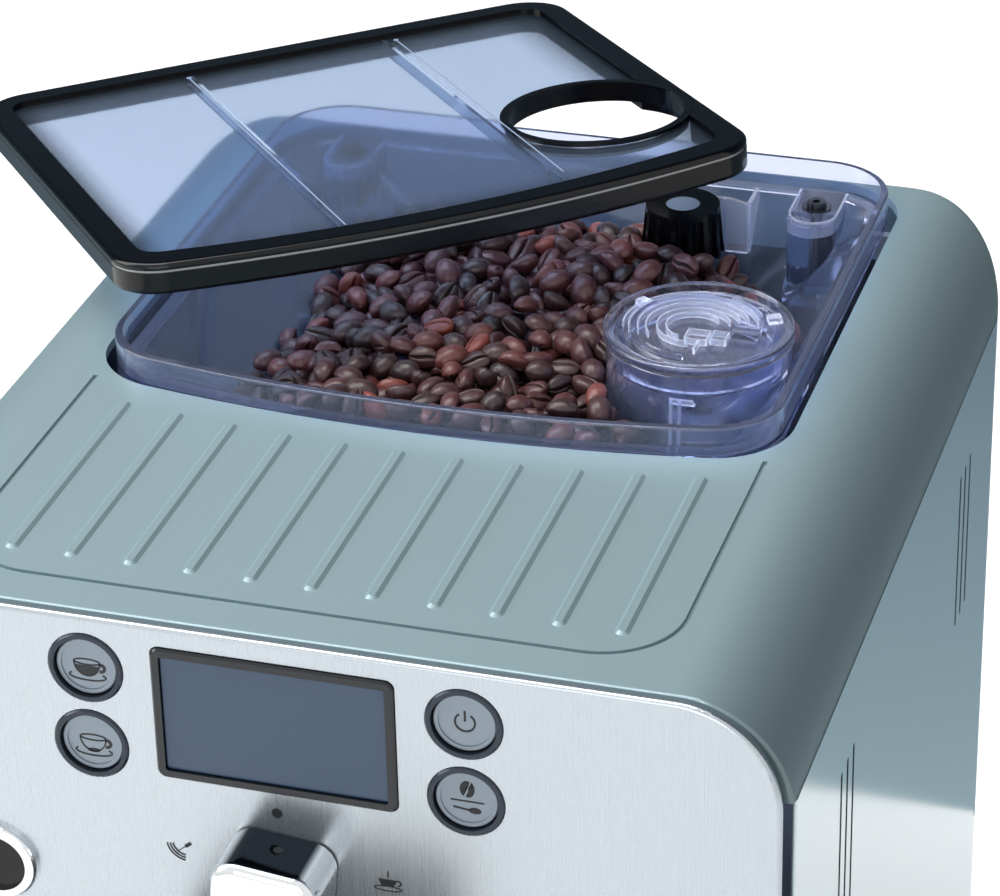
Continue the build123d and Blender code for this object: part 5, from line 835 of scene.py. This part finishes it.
def white_where_seen(tree, plain_level):
    """One where the camera, a reflection or clear plastic looks at it, and less for plain light."""
    path = tree.nodes.new("ShaderNodeLightPath")
    seen = path.outputs["Is Camera Ray"]
    for kind in ("Is Glossy Ray", "Is Transmission Ray"):
        either = tree.nodes.new("ShaderNodeMath")
        either.operation = "MAXIMUM"
        tree.links.new(seen, either.inputs[0])
        tree.links.new(path.outputs[kind], either.inputs[1])
        seen = either.outputs["Value"]
    level = tree.nodes.new("ShaderNodeMapRange")
    level.inputs["To Min"].default_value = plain_level
    tree.links.new(seen, level.inputs["Value"])
    return level.outputs["Result"]

world = bpy.data.worlds.new("studio")
world.use_nodes = True
sky = world.node_tree.nodes["Background"]
sky.inputs["Color"].default_value = (1.0, 1.0, 1.0, 1.0)
world.node_tree.links.new(white_where_seen(world.node_tree, world_level), sky.inputs["Strength"])
bpy.context.scene.world = world
bpy.context.scene.view_settings.view_transform = "Standard"

# %% Ground
def sheet(name, corners, material):
    """A flat sheet that is part of the studio."""
    mesh = bpy.data.meshes.new(name)
    mesh.from_pydata(corners, [], [(0, 1, 2, 3)])
    mesh.materials.append(material)
    piece = bpy.data.objects.new(name, mesh)
    bpy.context.scene.collection.objects.link(piece)

ground_material = plain("pale ground", "FAFAFA", 0.7, 0.8, 40.0, 0.0)
ground_shader = ground_material.node_tree.nodes["Principled BSDF"]
ground_shader.inputs["Emission Color"].default_value = (1, 1, 1, 1)
ground_glow = 0.2
ground_shader.inputs["Emission Strength"].default_value = ground_glow
half = 3.0
sheet("ground", [(-half, -half, 0), (half, -half, 0), (half, half, 0), (-half, half, 0)],
      ground_material)
print("ground laid")

# %% [markdown]
# Polished parts look like what stands around them. Behind the table stood something darker than
# the table: its edge shows as a level line in the side panel, 266 mm behind the machine's middle,
# and it makes the knob's top and the lid's black frame dark. A card with a tone that falls with
# height gives the same, and only reflections see it. Light bent by clear plastic also counts as
# glossy, so it is taken off, or the card would show through the lid.

# %% Dark card for reflections
card_y, card_half, card_top = 0.266, 2.0, 1.6
card_material = bpy.data.materials.new("dark card")
card_material.use_nodes = True
tree = card_material.node_tree
tree.nodes.remove(tree.nodes["Principled BSDF"])
height = tree.nodes.new("ShaderNodeSeparateXYZ")
place = tree.nodes.new("ShaderNodeTexCoord")
tones = tree.nodes.new("ShaderNodeValToRGB")
tones.color_ramp.elements[0].color = colour("A0B6BE")
tones.color_ramp.elements[1].color = colour("20262E")
for spot, code in ((0.15, "8498A4"), (0.3, "4A5A66"), (0.5, "2C353F")):
    tones.color_ramp.elements.new(spot).color = colour(code)
glow = tree.nodes.new("ShaderNodeEmission")
through = tree.nodes.new("ShaderNodeBsdfTransparent")
path = tree.nodes.new("ShaderNodeLightPath")
choose = tree.nodes.new("ShaderNodeMixShader")
tree.links.new(place.outputs["Object"], height.inputs["Vector"])
tree.links.new(height.outputs["Z"], tones.inputs["Fac"])
tree.links.new(tones.outputs["Color"], glow.inputs["Color"])
mirrored = tree.nodes.new("ShaderNodeMath")
mirrored.operation = "SUBTRACT"
mirrored.use_clamp = True
tree.links.new(path.outputs["Is Glossy Ray"], mirrored.inputs[0])
tree.links.new(path.outputs["Is Transmission Ray"], mirrored.inputs[1])
tree.links.new(mirrored.outputs["Value"], choose.inputs["Fac"])
tree.links.new(through.outputs["BSDF"], choose.inputs[1])
tree.links.new(glow.outputs["Emission"], choose.inputs[2])
tree.links.new(choose.outputs["Shader"], tree.nodes["Material Output"].inputs["Surface"])
card_corners = [(-card_half, card_y, 0.0), (card_half, card_y, 0.0), (card_half, card_y, card_top),
                (-card_half, card_y, card_top)]
sheet("dark_card", card_corners, card_material)
print("card stands at", card_y)

# %% [markdown]
# The camera stands where the photograph was taken, to the right of the front and above, with a
# long lens. Its place follows from the point it looks at, two angles, a small roll and a distance.

# %% Camera
azimuth, elevation, roll = (math.radians(a) for a in (17.62, 29.28, -1.39))
target = Vector((46.98, -108.35, 344.41)) * mm
distance = 933.59 * mm
back = Vector((math.sin(azimuth) * math.cos(elevation), -math.cos(azimuth) * math.cos(elevation),
               math.sin(elevation)))
right = Vector((math.cos(azimuth), math.sin(azimuth), 0.0))
up = back.cross(right)
rolled_right = right * math.cos(roll) + up * math.sin(roll)
rolled_up = up * math.cos(roll) - right * math.sin(roll)
turn = Matrix((rolled_right, rolled_up, back)).transposed().to_4x4()
camera_data = bpy.data.cameras.new("camera")
camera_data.sensor_width = 36.0
camera_data.lens = 140.67
camera_data.clip_end = 20.0
camera = bpy.data.objects.new("camera", camera_data)
camera.matrix_world = Matrix.Translation(target + back * distance) @ turn
bpy.context.scene.collection.objects.link(camera)
bpy.context.scene.camera = camera
print("camera at", [round(v, 3) for v in camera.location])
